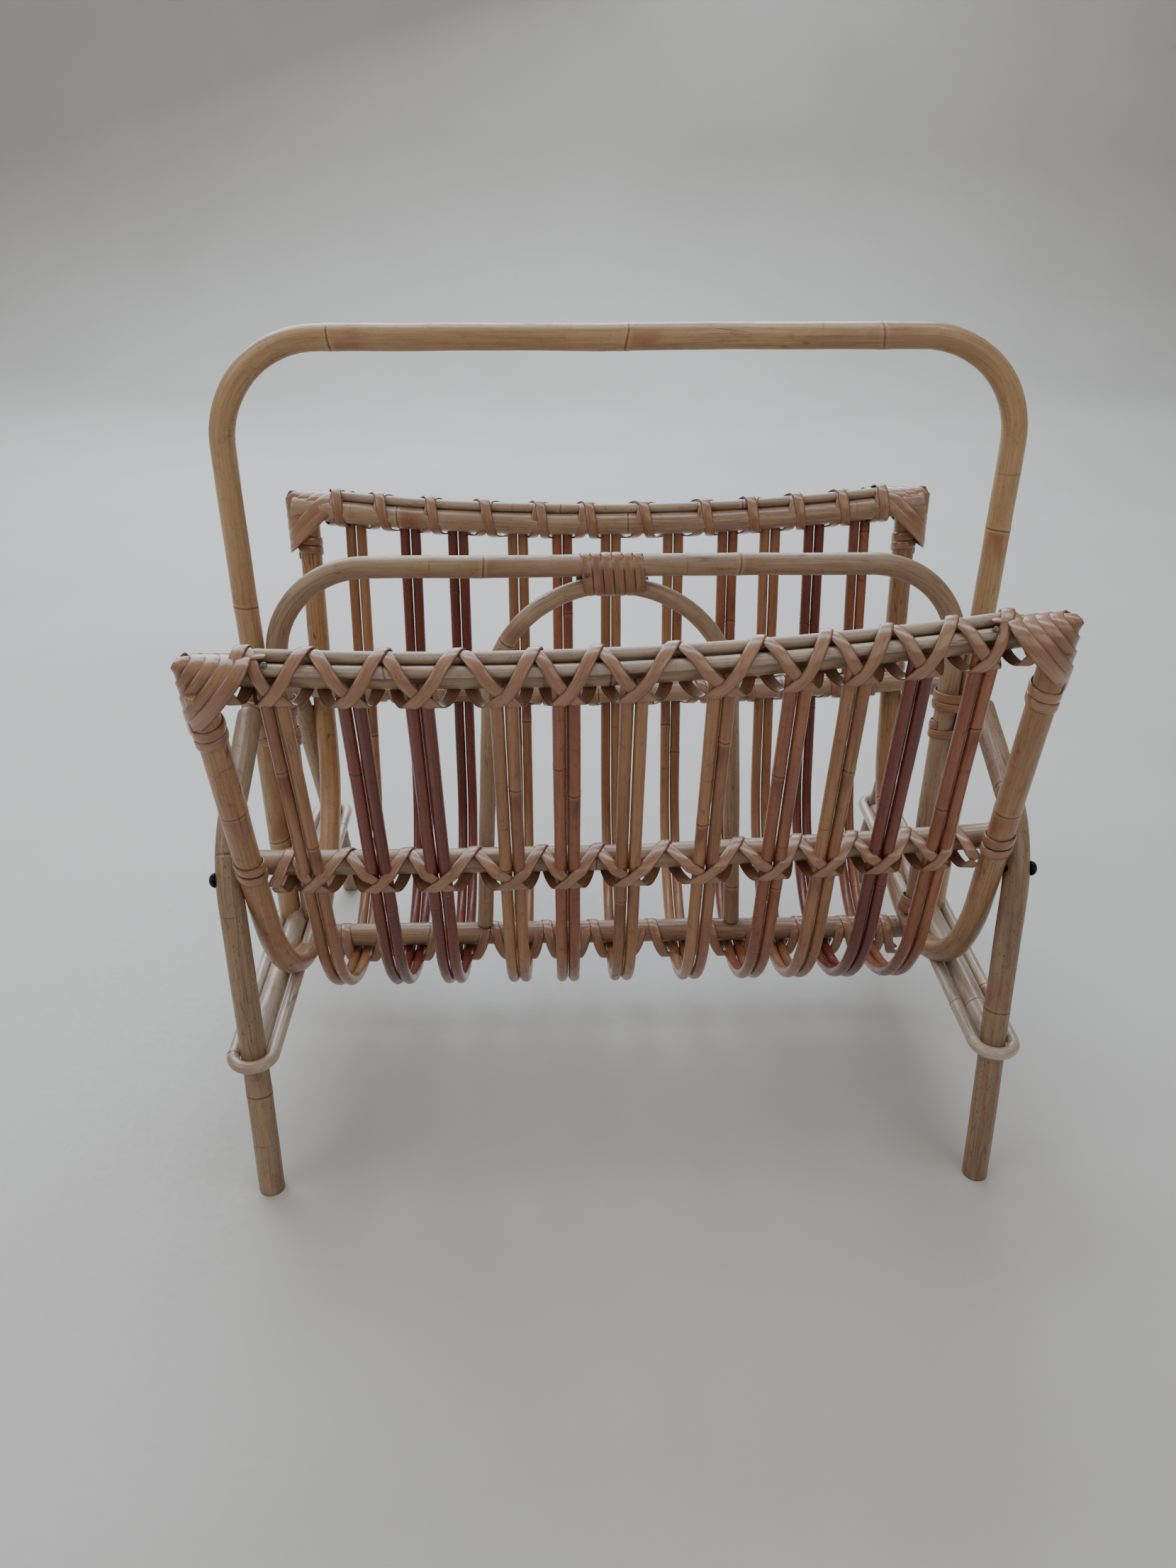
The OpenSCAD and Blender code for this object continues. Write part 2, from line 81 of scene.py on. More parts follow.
RAIL_N = -(ROD_R + RAIL_R) - GAP
POST_N = RAIL_N + RAIL_R + POLE_R + GAP
SLAT_BEND_Z = BOTTOM_RAIL_Z - BOTTOM_RAIL_R - ROD_R - GAP + SLAT_BEND_R
DIVIDER_X = HANDLE_X - POLE_R - DIVIDER_R - GAP
ARCH_Z = DIVIDER_Z - DIVIDER_R - ARCH_R - GAP
ARCH_BASE_Z = BOTTOM_RAIL_Z + BOTTOM_RAIL_R
ARCH_BEND_R = (
    ARCH_HALF_W * math.cos(ARCH_LEAN) + (ARCH_BASE_Z - ARCH_Z) * math.sin(ARCH_LEAN)
) / (1 - math.sin(ARCH_LEAN))
CAP_REACH = RAIL_R + CAP_R + GAP
CAP_ANGLES = (math.radians(88), math.radians(42))
LEG_AT_LOOP = (
    FOOT_X + STRETCHER_Z * math.tan(LEG_TILT),
    FOOT_Y - STRETCHER_Z * math.tan(LEG_LEAN),
)
LOOP_BEND_R = POLE_R / math.cos(LEG_LEAN) + LOOP_R + GAP
CANE_LAY = CANE_T / 2 + GAP
PAIRS = len(PAIR_SHIFT)


def pair_x(i):
    return PAIR_PITCH * (i - (PAIRS - 1) / 2) + PAIR_SHIFT[i]


def knot_x(i):
    """Where the cane crosses: on each slat pair, and beside each post."""
    if i < 0:
        return -END_KNOT_X
    return END_KNOT_X if i >= PAIRS else pair_x(i)


def front_lean(x):
    """Lean of the front wall at x: it is twisted, and leans more at its left end."""
    return WALL_LEAN - FRONT_TWIST * x / BOW_SPAN


def post_lean(back, right):
    return WALL_LEAN if back else front_lean(FRAME_X if right else -FRAME_X)


def frame_bend_r(lean):
    """Bend of an end frame that keeps a post of this lean against the rails."""
    c, s = math.cos(lean), math.sin(lean)
    reach = SLAT_BEND_R + POST_N + (FRAME_Z - SLAT_BEND_Z) * s - FRAME_FLAT / 2 * c
    return reach / (1 - s)


def mid_up(back):
    return MID_RAIL_UP_BACK if back else MID_RAIL_UP_FRONT


def bow_at(bow, x):
    """How far a bowed rail has risen at x from its middle."""
    if bow == 0:
        return 0 * x
    r = (BOW_SPAN**2 + bow**2) / (2 * bow)
    return r - np.sqrt(r * r - x * x)


# ---- placing ----


def on_wall(points, back, up, out=0.0):
    """Takes points from a rail's own frame, at this height up a wall, to the row frame."""
    points = np.asarray(points, float)
    if not back:
        twist = math.sin(FRONT_TWIST) / BOW_SPAN
        points = turned_y(points, -math.asin(SLAT_BEND_R * twist))
        points = turned_z(points, -math.asin(up * twist))
    x, y, z = points.T
    c, s = math.cos(WALL_LEAN), math.sin(WALL_LEAN)
    y, z = y + out, z + up
    row_y = SLAT_BEND_R * c + y * c + z * s
    row_z = SLAT_BEND_Z - SLAT_BEND_R * s - y * s + z * c
    return np.column_stack([x, row_y if back else -row_y, row_z])


def wall_direction(vectors, back, up):
    """Turns directions from a rail's frame to the row frame."""
    origin = on_wall(np.zeros((1, 3)), back, up)
    return on_wall(vectors, back, up) - origin


def on_post(points, back, right, along):
    """Takes points from a frame on a post's axis, with z along it, to the row frame."""
    lean = post_lean(back, right)
    r = frame_bend_r(lean)
    c, s = math.cos(lean), math.sin(lean)
    x, y, z = np.asarray(points, float).T
    z = z + along
    row = np.column_stack([x, y * c + z * s + FRAME_FLAT / 2 + r * c, z * c - y * s + r - r * s])
    row = turned_y(mirrored(row, not back, 1), FRAME_TILT) + (FRAME_X, 0, FRAME_Z)
    return mirrored(row, not right)


def post_direction(vectors, back, right):
    origin = on_post(np.zeros((1, 3)), back, right, 0)
    return on_post(vectors, back, right, 0) - origin


def mirrored(points, flip, axis=0):
    points = np.array(points, float)
    if flip:
        points[:, axis] *= -1
    return points


def turned_y(points, angle):
    """Turns points about the Y axis, from Z towards X."""
    x, y, z = np.asarray(points, float).T
    c, s = math.cos(angle), math.sin(angle)
    return np.column_stack([x * c + z * s, y, z * c - x * s])


def turned_z(points, angle):
    """Turns points about the Z axis, from X towards Y."""
    x, y, z = np.asarray(points, float).T
    c, s = math.cos(angle), math.sin(angle)
    return np.column_stack([x * c - y * s, x * s + y * c, z])


def rounded(corners, radius, step=0.0008):
    """A path through the corners, with each inner corner rounded to the radius."""
    corners = [np.array(c, float) for c in corners]
    path = [corners[0]]
    for before, at, after in zip(corners, corners[1:], corners[2:]):
        d1 = (at - before) / np.linalg.norm(at - before)
        d2 = (after - at) / np.linalg.norm(after - at)
        turn = math.acos(float(np.clip(d1 @ d2, -1, 1)))
        start = at - d1 * radius * math.tan(turn / 2)
        inward = d2 - d1 * (d1 @ d2)
        inward /= np.linalg.norm(inward)
        count = max(6, int(radius * turn / step))
        for t in np.linspace(0, turn, count):
            path.append(start + radius * (math.sin(t) * d1 + (1 - math.cos(t)) * inward))
    path.append(corners[-1])
    return np.array(path)


def resampled(path, step):
    """The path at even steps along its length, and its length."""
    run = np.concatenate([[0], np.cumsum(np.linalg.norm(np.diff(path, axis=0), axis=1))])
    count = max(3, int(round(run[-1] / step)) + 1)
    return at_lengths(path, np.linspace(0, run[-1], count)), run[-1]


def at_lengths(path, lengths):
    run = np.concatenate([[0], np.cumsum(np.linalg.norm(np.diff(path, axis=0), axis=1))])
    return np.column_stack([np.interp(lengths, run, path[:, k]) for k in range(3)])


def unit_rows(v):
    return v / np.maximum(np.linalg.norm(v, axis=1, keepdims=True), 1e-12)


def directions(points):
    """Unit tangent at each point of a path."""
    return unit_rows(np.gradient(points, axis=0))


def carried_frames(tangents, first):
    """Two directions across the path at each point, carried along it without twist."""
    normal = first - tangents[0] * (first @ tangents[0])
    normals = []
    for t in tangents:
        normal = normal - t * (normal @ t)
        normal = normal / np.linalg.norm(normal)
        normals.append(normal)
    normals = np.array(normals)
    return normals, np.cross(tangents, normals)


# ---- mesh making ----


def wander(rng, lengths, size, reach):
    """A smooth random line: how far something strays along a pole."""
    total = np.zeros_like(lengths)
    for part in (1, 0.5, 0.25):
        turn = rng.uniform(0, 2 * math.pi)
        total += part * np.sin(2 * math.pi * lengths / (reach * part) + turn)
    return size * total / 1.75


def growth_rings(rng, length, spacing):
    """Where a cane's growth rings lie along a pole."""
    places = [rng.uniform(0.2, 0.9) * spacing]
    while places[-1] < length:
        places.append(places[-1] + spacing * rng.uniform(0.7, 1.35))
    return [p for p in places if 0.012 < p < length - 0.012]


def pole_mesh(name, path, radius, seed, rings=None, spacing=0.14, around=22, step=0.003,
              stray=0.0003, swell=0.00028, trim=None, tone=None):
    """A rattan pole along a path: swollen at its growth rings, a little uneven, with cut ends.

    grain holds a point's place on the unrolled pole, ring how far it is from the nearest
    growth ring, squeeze how much the bend presses it, and cut is 1 on a cut end.
    """
    rng = random.Random(seed)
    length = resampled(path, step)[1]
    rings = growth_rings(rng, length, spacing) if rings is None else rings
    fine = [r + d for r in rings for d in (-0.0024, -0.0012, -0.0005, 0, 0.0005, 0.0012, 0.0024)]
    fine += [0.0006, 0.0014, length - 0.0014, length - 0.0006]
    plain = [s for s in np.linspace(0, length, int(length / step))
             if min([1.0] + [abs(s - f) for f in fine]) > step * 0.35]
    s = np.array(sorted([0.0, length] + [v for v in plain if 0 < v < length]
                        + [f for f in fine if 0 < f < length]))
    s = s[np.concatenate([[True], np.diff(s) > 1e-5])]
    centre = at_lengths(path, s)
    tangents = directions(centre)
    hint = np.array([0.31, 0.23, 0.92])
    if abs(hint @ tangents[0]) > 0.8:
        hint = np.array([0.9, -0.3, 0.1])
    across, over = carried_frames(tangents, hint)
    ease = np.clip(np.minimum(s, length - s) / 0.02, 0, 1)
    centre = centre + across * (wander(rng, s, stray, 0.19) * ease)[:, None]
    centre = centre + over * (wander(rng, s, stray, 0.23) * ease)[:, None]

    theta = np.linspace(0, 2 * math.pi, around, endpoint=False)
    thick = radius * (1 + wander(rng, s, 0.012, 0.11))[:, None] * np.ones(around)
    oval = wander(rng, s, 0.010, 0.17)[:, None] * radius
    thick = thick + oval * np.cos(2 * theta + rng.uniform(0, 3))
    ring = np.full((len(s), around), 0.03)
    for place in rings:
        slant = rng.uniform(0.05, 0.22) * rng.choice((-1, 1))
        lean = rng.uniform(0, 2 * math.pi)
        away = s[:, None] - place - slant * radius * np.cos(theta - lean)[None, :]
        thick = thick + swell * np.exp(-((away / 0.0026) ** 2))
        thick = thick - 1.1 * swell * np.exp(-(((away - 0.0002) / 0.0005) ** 2))
        closer = np.abs(away) < np.abs(ring)
        ring = np.where(closer, away, ring)
    rim = 0.0005 * min(1.0, radius / 0.006)
    for end in (s, length - s):
        thick = thick - (rim * np.clip(1 - end / 0.0014, 0, 1) ** 2)[:, None]

    spin_x = across[:, None, :] * np.cos(theta)[None, :, None]
    spin_y = over[:, None, :] * np.sin(theta)[None, :, None]
    outward = spin_x + spin_y
    verts = centre[:, None, :] + outward * thick[:, :, None]
    bend = np.gradient(tangents, axis=0) / np.maximum(np.gradient(s), 1e-6)[:, None]
    squeeze = radius * np.einsum("ik,ijk->ij", bend, outward)

    start = rng.uniform(0, 40)
    grain = np.zeros((len(s), around, 3))
    grain[:, :, 0] = radius * np.cos(theta)[None, :]
    grain[:, :, 1] = radius * np.sin(theta)[None, :]
    grain[:, :, 2] = s[:, None] + start

    count = len(s)
    index = np.arange(count * around).reshape(count, around)
    nxt = np.roll(index, -1, axis=1)
    walls = np.stack([index[:-1], nxt[:-1], nxt[1:], index[1:]], axis=-1).reshape(-1, 4)
    faces = walls.tolist()
    points = verts.reshape(-1, 3)
    layers = {
        "grain": grain.reshape(-1, 3),
        "ring": ring.reshape(-1),
        "squeeze": squeeze.reshape(-1),
        "cut": np.zeros(count * around),
        "tone": np.full(count * around, rng.uniform(0, 1) if tone is None else tone),
    }
    if trim is not None:
        points = trim(points)
    for last in (False, True):
        points, layers, more = end_cap(points, layers, index[-1 if last else 0], last)
        faces += more
    return new_piece(name, points, faces, layers)


def end_cap(points, layers, rim, last):
    """Closes a pole with a sawn end, in rings that draw in to the middle."""
    faces = []
    middle = points[rim].mean(axis=0)
    pith = layers["grain"][rim].mean(axis=0)
    outer = rim
    for share in (0.97, 0.66, 0.33):
        base = len(points)
        ring = middle + (points[rim] - middle) * share
        points = np.vstack([points, ring])
        new = np.arange(base, base + len(rim))
        for key in layers:
            if key == "grain":
                more = pith + (layers[key][rim] - pith) * share
            elif key == "cut":
                more = np.ones(len(rim))
            else:
                more = layers[key][rim]
            layers[key] = np.concatenate([layers[key], more])
        quads = np.stack([outer, np.roll(outer, -1), np.roll(new, -1), new], axis=-1)
        faces += (quads if last else quads[:, ::-1]).tolist()
        outer = new
    tip = len(points)
    points = np.vstack([points, middle[None, :]])
    for key in layers:
        value = pith[None, :] if key == "grain" else np.array([1.0 if key == "cut" else 0.0])
        if key == "tone":
            value = layers[key][rim[:1]]
        layers[key] = np.concatenate([layers[key], value])
    fan = [[int(a), int(b), tip] for a, b in zip(outer, np.roll(outer, -1))]
    faces += fan if last else [f[::-1] for f in fan]
    return points, layers, faces


RIBBON = ((-0.5, 0.12), (-0.47, 0.62), (-0.34, 0.86), (-0.12, 0.99), (0.12, 1.0),
          (0.34, 0.87), (0.47, 0.62), (0.5, 0.12), (0.42, 0.0), (0.0, 0.04), (-0.42, 0.0))


def ribbon_mesh(name, strands, seed, width=WRAP_W, thick=CANE_T):
    """Strips of cane, flat inside and domed outside, each along a path with its outward side."""
    rng = random.Random(seed)
    profile = np.array(RIBBON)
    sides = len(profile)
    all_points, faces = [], []
    layers = {"grain": [], "edge": [], "cut": [], "tone": []}
    base = 0
    for path, out in strands:
        run = np.concatenate(
            [[0], np.cumsum(np.linalg.norm(np.diff(path, axis=0), axis=1))])
        along = directions(path)
        side = unit_rows(np.cross(along, out))
        lift = unit_rows(np.cross(side, along))
        lift *= np.sign(np.einsum("ij,ij->i", lift, out))[:, None]
        wide = width * (1 + wander(rng, run, 0.05, 0.06))
        tip = np.clip(np.minimum(run, run[-1] - run) / 0.002, 0.35, 1)
        wide = wide * (0.8 + 0.2 * tip)
        u = profile[None, :, 0] * wide[:, None]
        v = (profile[None, :, 1] - 0.5) * thick * np.ones(len(path))[:, None]
        points = path[:, None, :] + side[:, None, :] * u[:, :, None]
        points = points + lift[:, None, :] * v[:, :, None]
        count = len(path)
        index = base + np.arange(count * sides).reshape(count, sides)
        nxt = np.roll(index, -1, axis=1)
        walls = np.stack([index[:-1], nxt[:-1], nxt[1:], index[1:]], axis=-1).reshape(-1, 4)
        faces += walls.tolist() + [index[0][::-1].tolist(), index[-1].tolist()]
        grain = np.zeros((count, sides, 3))
        grain[:, :, 0] = u
        grain[:, :, 1] = v
        grain[:, :, 2] = run[:, None] + rng.uniform(0, 40)
        all_points.append(points.reshape(-1, 3))
        layers["grain"].append(grain.reshape(-1, 3))
        layers["edge"].append(np.tile(np.abs(profile[:, 0]) * 2, count))
        layers["cut"].append(np.zeros(count * sides))
        layers["tone"].append(np.full(count * sides, rng.uniform(0, 1)))
        base += count * sides
    layers = {key: np.concatenate(value) for key, value in layers.items()}
    return new_piece(name, np.vstack(all_points), faces, layers)


def lathe_mesh(name, places, profile, around=28):
    """Turned parts, one at each (origin, axis): profile holds (radius, height) from foot to tip."""
    points, faces = [], []
    turn = []
    for origin, axis in places:
        axis = np.array(axis, float) / np.linalg.norm(axis)
        a = np.cross(axis, [0.21, 0.55, 0.81])
        a /= np.linalg.norm(a)
        b = np.cross(axis, a)
        base = len(points)
        for r, h in profile:
            for k in range(around):
                t = 2 * math.pi * k / around
                points.append(np.array(origin) + axis * h
                              + r * (math.cos(t) * a + math.sin(t) * b))
                turn.append((r * math.cos(t), r * math.sin(t), h))
        for j in range(len(profile) - 1):
            for k in range(around):
                p, q = base + j * around + k, base + j * around + (k + 1) % around
                faces.append([p, q, q + around, p + around])
        faces.append([base + k for k in range(around)][::-1])
        top = base + (len(profile) - 1) * around
        faces.append([top + k for k in range(around)])
    return new_piece(name, np.array(points), faces, {"grain": np.array(turn)})


def new_piece(name, points, faces, layers):
    """A smooth-shaded object with a value for each layer at every vertex."""
    mesh = bpy.data.meshes.new(name)
    mesh.from_pydata(points.tolist(), [], faces)
    for key, values in layers.items():
        if values.ndim == 2:
            layer = mesh.attributes.new(key, "FLOAT_VECTOR", "POINT")
            layer.data.foreach_set("vector", np.ascontiguousarray(values, "f4").ravel())
        else:
            layer = mesh.attributes.new(key, "FLOAT", "POINT")
            layer.data.foreach_set("value", np.ascontiguousarray(values, "f4"))
    mesh.shade_smooth()
    mesh.update()
    piece = bpy.data.objects.new(name, mesh)
    bpy.context.scene.collection.objects.link(piece)
    return piece


def join(name, parts):
    """One piece from several, keeping their layers."""
    bpy.ops.object.select_all(action="DESELECT")
    for part in parts:
        part.select_set(True)
    bpy.context.view_layer.objects.active = parts[0]
    bpy.ops.object.join()
    parts[0].name = name
    return parts[0]


def finish_piece(piece, node, material):
    piece.data.materials.append(material)
    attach(piece, "root")
    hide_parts(node)
    return piece


# ---- materials ----


class Nodes:
    """A short way to write a node tree: add a node, with inputs given as values or sockets."""

    def __init__(self, name):
        self.material = bpy.data.materials.new(name)
        self.material.use_nodes = True
        self.tree = self.material.node_tree
        self.shader = self.tree.nodes["Principled BSDF"]

    def put(self, socket, value):
        if isinstance(value, bpy.types.NodeSocket):
            self.tree.links.new(value, socket)
        else:
            socket.default_value = value

    def add(self, kind, output=0, inputs=(), **settings):
        node = self.tree.nodes.new("ShaderNode" + kind)
        for key, value in settings.items():
            setattr(node, key, value)
        for key, value in dict(inputs).items():
            self.put(node.inputs[key], value)
        return node.outputs[output]

    def layer(self, name, output="Fac"):
        return self.add("Attribute", output, attribute_name=name)

    def scaled(self, vector, scale):
        return self.add("VectorMath", 0, {0: vector, 1: scale}, operation="MULTIPLY")

    def noise(self, vector, scale, detail=3.0, rough=0.55):
        sockets = {"Vector": vector, "Scale": scale, "Detail": detail, "Roughness": rough}
        return self.add("TexNoise", "Fac", sockets)

    def math(self, operation, a, b=0.0, clamp=False):
        return self.add("Math", 0, {0: a, 1: b}, operation=operation, use_clamp=clamp)

    def fit(self, value, low, high, to_low=0.0, to_high=1.0, smooth=True):
        sockets = {"Value": value, "From Min": low, "From Max": high,
                   "To Min": to_low, "To Max": to_high}
        kind = "SMOOTHSTEP" if smooth else "LINEAR"
        return self.add("MapRange", 0, sockets, interpolation_type=kind)

    def mix(self, share, a, b, blend="MIX"):
        node = self.tree.nodes.new("ShaderNodeMix")
        node.data_type = "RGBA"
        node.blend_type = blend
        for key, value in ((0, share), (6, a), (7, b)):
            if isinstance(value, tuple):
                value = (*value, 1.0)
            self.put(node.inputs[key], value)
        return node.outputs[2]

    def bump(self, height, strength, distance, normal=None):
        sockets = {"Height": height, "Strength": strength, "Distance": distance}
        if normal is not None:
            sockets["Normal"] = normal
        return self.add("Bump", "Normal", sockets)


def rattan(name, light, base, dark, ring_colour, speckle=0.0, splits=0.5, dusty=0.0,
           gloss=0.3, stain=0.5):
    """Skin of a lacquered rattan pole.

    light, base and dark are its colours along the grain. speckle is how many dark flecks it
    has, splits how many fine cracks, dusty how grey its weathered skin is, gloss its lacquer,
    and stain how strong the dark patches are.
    """
    n = Nodes(name)
    grain = n.layer("grain", "Vector")
    tone = n.layer("tone")
    long_patch = n.noise(n.scaled(grain, (60, 60, 9)), 1.0, 4.0, 0.6)
    fibre = n.noise(n.scaled(grain, (1500, 1500, 34)), 1.0, 3.0, 0.6)
    broad = n.noise(n.scaled(grain, (330, 330, 14)), 1.0, 3.0, 0.6)
    mottle = n.noise(n.scaled(grain, (260, 260, 160)), 1.0, 4.0, 0.65)

    share = n.math("ADD", n.fit(long_patch, 0.3, 0.72), n.fit(tone, 0, 1, -0.42, 0.42, False))
    share = n.math("ADD", share, n.fit(broad, 0.3, 0.7, -0.22, 0.22), True)
    colour = n.mix(share, light, base)
    darker = n.math("MULTIPLY", n.fit(mottle, 0.52, 0.74), stain, True)
    colour = n.mix(darker, colour, dark)
    streak = n.fit(fibre, 0.42, 0.74, 0.0, 0.42)
    colour = n.mix(streak, colour, dark)

    ring = n.layer("ring")
    wild = n.noise(n.scaled(grain, (120, 120, 40)), 1.0, 2.0)
    beyond = n.math("MULTIPLY", n.fit(ring, 0.0, 0.002), n.fit(ring, 0.008, 0.024, 1.0, 0.0))
    flush = n.math("MULTIPLY", beyond, n.fit(wild, 0.38, 0.66, 0.1, 0.85))
    colour = n.mix(flush, colour, ring_colour)
    near = n.math("ABSOLUTE", ring)
    pale = n.math("MULTIPLY", n.fit(near, 0.0009, 0.0034, 0.5, 0.0), n.fit(wild, 0.3, 0.6, 0.3, 1.0))
    colour = n.mix(pale, colour, light)
    line = n.fit(near, 0.00022, 0.0008, 0.9, 0.0)
    colour = n.mix(line, colour, dark)

    crack_field = n.add("TexVoronoi", "Distance",
                        {"Vector": n.scaled(grain, (520, 520, 17)), "Scale": 1.0},
                        feature="DISTANCE_TO_EDGE")
    where = n.fit(n.noise(n.scaled(grain, (90, 90, 15)), 1.0, 2.0), 0.5, 0.62, 0.0, splits)
    crack = n.math("MULTIPLY", n.fit(crack_field, 0.0, 0.055, 1.0, 0.0), where)
    colour = n.mix(crack, colour, tuple(0.35 * c for c in dark))

    fleck_field = n.add("TexVoronoi", "Distance",
                        {"Vector": n.scaled(grain, (620, 620, 330)), "Scale": 1.0})
    fleck_where = n.fit(n.noise(n.scaled(grain, (150, 150, 70)), 1.0, 2.0), 0.44, 0.6, 0.0, speckle)
    fleck = n.math("MULTIPLY", n.fit(fleck_field, 0.12, 0.3, 1.0, 0.0), fleck_where)
    colour = n.mix(fleck, colour, tuple(0.5 * c for c in dark))

    squeeze = n.layer("squeeze")
    crease = n.noise(n.scaled(grain, (170, 170, 1500)), 1.0, 2.0, 0.5)
    pressed = n.math("MULTIPLY", n.fit(squeeze, 0.035, 0.11), n.fit(crease, 0.6, 0.68))
    colour = n.mix(n.math("MULTIPLY", pressed, 0.7), colour, dark)

    if dusty > 0:
        dust = n.noise(n.scaled(grain, (420, 420, 45)), 1.0, 5.0, 0.7)
        colour = n.mix(n.fit(dust, 0.42, 0.72, 0.0, dusty), colour, (0.36, 0.33, 0.28))

    cut = n.layer("cut")
    pores = n.add("TexVoronoi", "Distance",
                  {"Vector": n.scaled(grain, (1900, 1900, 10)), "Scale": 1.0})
    end_colour = n.mix(n.fit(pores, 0.1, 0.42), (0.09, 0.045, 0.025), (0.36, 0.24, 0.14))
    colour = n.mix(cut, colour, end_colour)
    n.put(n.shader.inputs["Base Color"], colour)

    rough = n.fit(mottle, 0.25, 0.8, 0.52 - gloss * 0.5, 0.74 - gloss * 0.5)
    rough = n.math("ADD", rough, n.math("MULTIPLY", crack, 0.3))
    rough = n.math("ADD", rough, n.math("MULTIPLY", cut, 0.3), True)
    n.put(n.shader.inputs["Roughness"], rough)

    low = n.math("ADD", n.math("MULTIPLY", crack, 0.8), n.math("MULTIPLY", pressed, 0.7))
    height = n.math("SUBTRACT", n.math("MULTIPLY", fibre, 0.5), low)
    height = n.math("SUBTRACT", height, n.math("MULTIPLY", line, 0.5))
    height = n.math("ADD", height, n.math("MULTIPLY", mottle, 0.5))
    normal = n.bump(height, 0.55, 0.00035)
    n.put(n.shader.inputs["Normal"], normal)
    n.shader.inputs["Coat Weight"].default_value = gloss * 0.8
    n.shader.inputs["Coat Roughness"].default_value = 0.16
    n.shader.inputs["Specular IOR Level"].default_value = 0.5
    return n.material


def cane_skin(name, light, base, dark):
    """Glossy outer skin of split cane, with fine lines along it and darker edges."""
    n = Nodes(name)
    grain = n.layer("grain", "Vector")
    tone = n.layer("tone")
    patch = n.noise(n.scaled(grain, (150, 150, 38)), 1.0, 4.0, 0.6)
    lines = n.noise(n.scaled(grain, (2600, 700, 22)), 1.0, 3.0, 0.6)
    share = n.math("ADD", n.fit(patch, 0.3, 0.7), n.fit(tone, 0, 1, -0.2, 0.2, False), True)
    colour = n.mix(share, light, base)
    colour = n.mix(n.fit(lines, 0.45, 0.72, 0.0, 0.5), colour, dark)
    spots = n.noise(n.scaled(grain, (700, 700, 260)), 1.0, 3.0, 0.6)
    colour = n.mix(n.fit(spots, 0.62, 0.74, 0.0, 0.6), colour, dark)
    colour = n.mix(n.fit(n.layer("edge"), 0.7, 1.0, 0.0, 0.65), colour, dark)
    n.put(n.shader.inputs["Base Color"], colour)
    n.put(n.shader.inputs["Roughness"], n.fit(patch, 0.25, 0.8, 0.26, 0.5))
    height = n.math("ADD", n.math("MULTIPLY", lines, 0.8), n.math("MULTIPLY", spots, 0.3))
    n.put(n.shader.inputs["Normal"], n.bump(height, 0.5, 0.0002))
    n.shader.inputs["Coat Weight"].default_value = 0.6
    n.shader.inputs["Coat Roughness"].default_value = 0.18
    n.shader.inputs["Coat IOR"].default_value = 1.6
    return n.material


def metal(name, colour, worn, rough, metallic):
    """Worn metal: scratches and dull patches."""
    n = Nodes(name)
    grain = n.layer("grain", "Vector")
    patch = n.noise(grain, 900.0, 4.0, 0.6)
    scratch = n.noise(n.scaled(grain, (5200, 420, 900)), 1.0, 2.0, 0.5)
    colour = n.mix(n.fit(patch, 0.45, 0.72), colour, worn)
    colour = n.mix(n.fit(scratch, 0.6, 0.72, 0.0, 0.5), colour, worn)
    n.put(n.shader.inputs["Base Color"], colour)
    n.put(n.shader.inputs["Roughness"], n.fit(patch, 0.3, 0.75, rough, rough + 0.25))
    n.put(n.shader.inputs["Normal"], n.bump(scratch, 0.35, 0.00006))
    n.shader.inputs["Metallic"].default_value = metallic
    return n.material


GOLDEN = rattan(
    "golden_rattan", (0.53, 0.35, 0.17), (0.40, 0.24, 0.115), (0.17, 0.075, 0.035),
    (0.34, 0.13, 0.06), speckle=0.25, splits=0.5, dusty=0.12, gloss=0.42, stain=0.3)
GREY_TAN = rattan(
    "grey_tan_rattan", (0.46, 0.33, 0.20), (0.34, 0.22, 0.13), (0.15, 0.075, 0.045),
    (0.27, 0.12, 0.07), speckle=0.35, splits=0.5, dusty=0.3, gloss=0.3, stain=0.4)
POST_BROWN = rattan(
    "post_brown_rattan", (0.44, 0.235, 0.10), (0.30, 0.135, 0.065), (0.10, 0.035, 0.028),
    (0.22, 0.07, 0.04), speckle=0.3, splits=0.75, dusty=0.1, gloss=0.42, stain=0.5)
LEG_SKIN = rattan(
    "leg_rattan", (0.35, 0.235, 0.13), (0.24, 0.14, 0.076), (0.10, 0.05, 0.03),
    (0.25, 0.085, 0.04), speckle=0.8, splits=0.5, dusty=0.24, gloss=0.3, stain=0.45)
POST_GOLD = rattan(
    "post_gold_rattan", (0.40, 0.23, 0.105), (0.28, 0.14, 0.066), (0.12, 0.045, 0.024),
    (0.25, 0.085, 0.04), speckle=0.3, splits=0.6, dusty=0.06, gloss=0.42, stain=0.45)
# Worn, dusty grey-tan skin that is also a painted highlight: its colours are made paler and greyer
# to stand in for the sheen the cap strips catch from above. The stretchers and their loops share it.
WORN_AND_PAINTED_HIGHLIGHT = rattan(
    "worn_and_painted_highlight_rattan", (0.55, 0.45, 0.34), (0.38, 0.26, 0.18), (0.16, 0.085, 0.06),
    (0.32, 0.14, 0.09), speckle=0.45, splits=0.6, dusty=0.5, gloss=0.5, stain=0.35)
RAIL_SKIN = rattan(
    "rail_rattan", (0.43, 0.29, 0.175), (0.29, 0.16, 0.09), (0.12, 0.052, 0.03),
    (0.24, 0.09, 0.045), speckle=0.35, splits=0.45, dusty=0.3, gloss=0.5, stain=0.4)
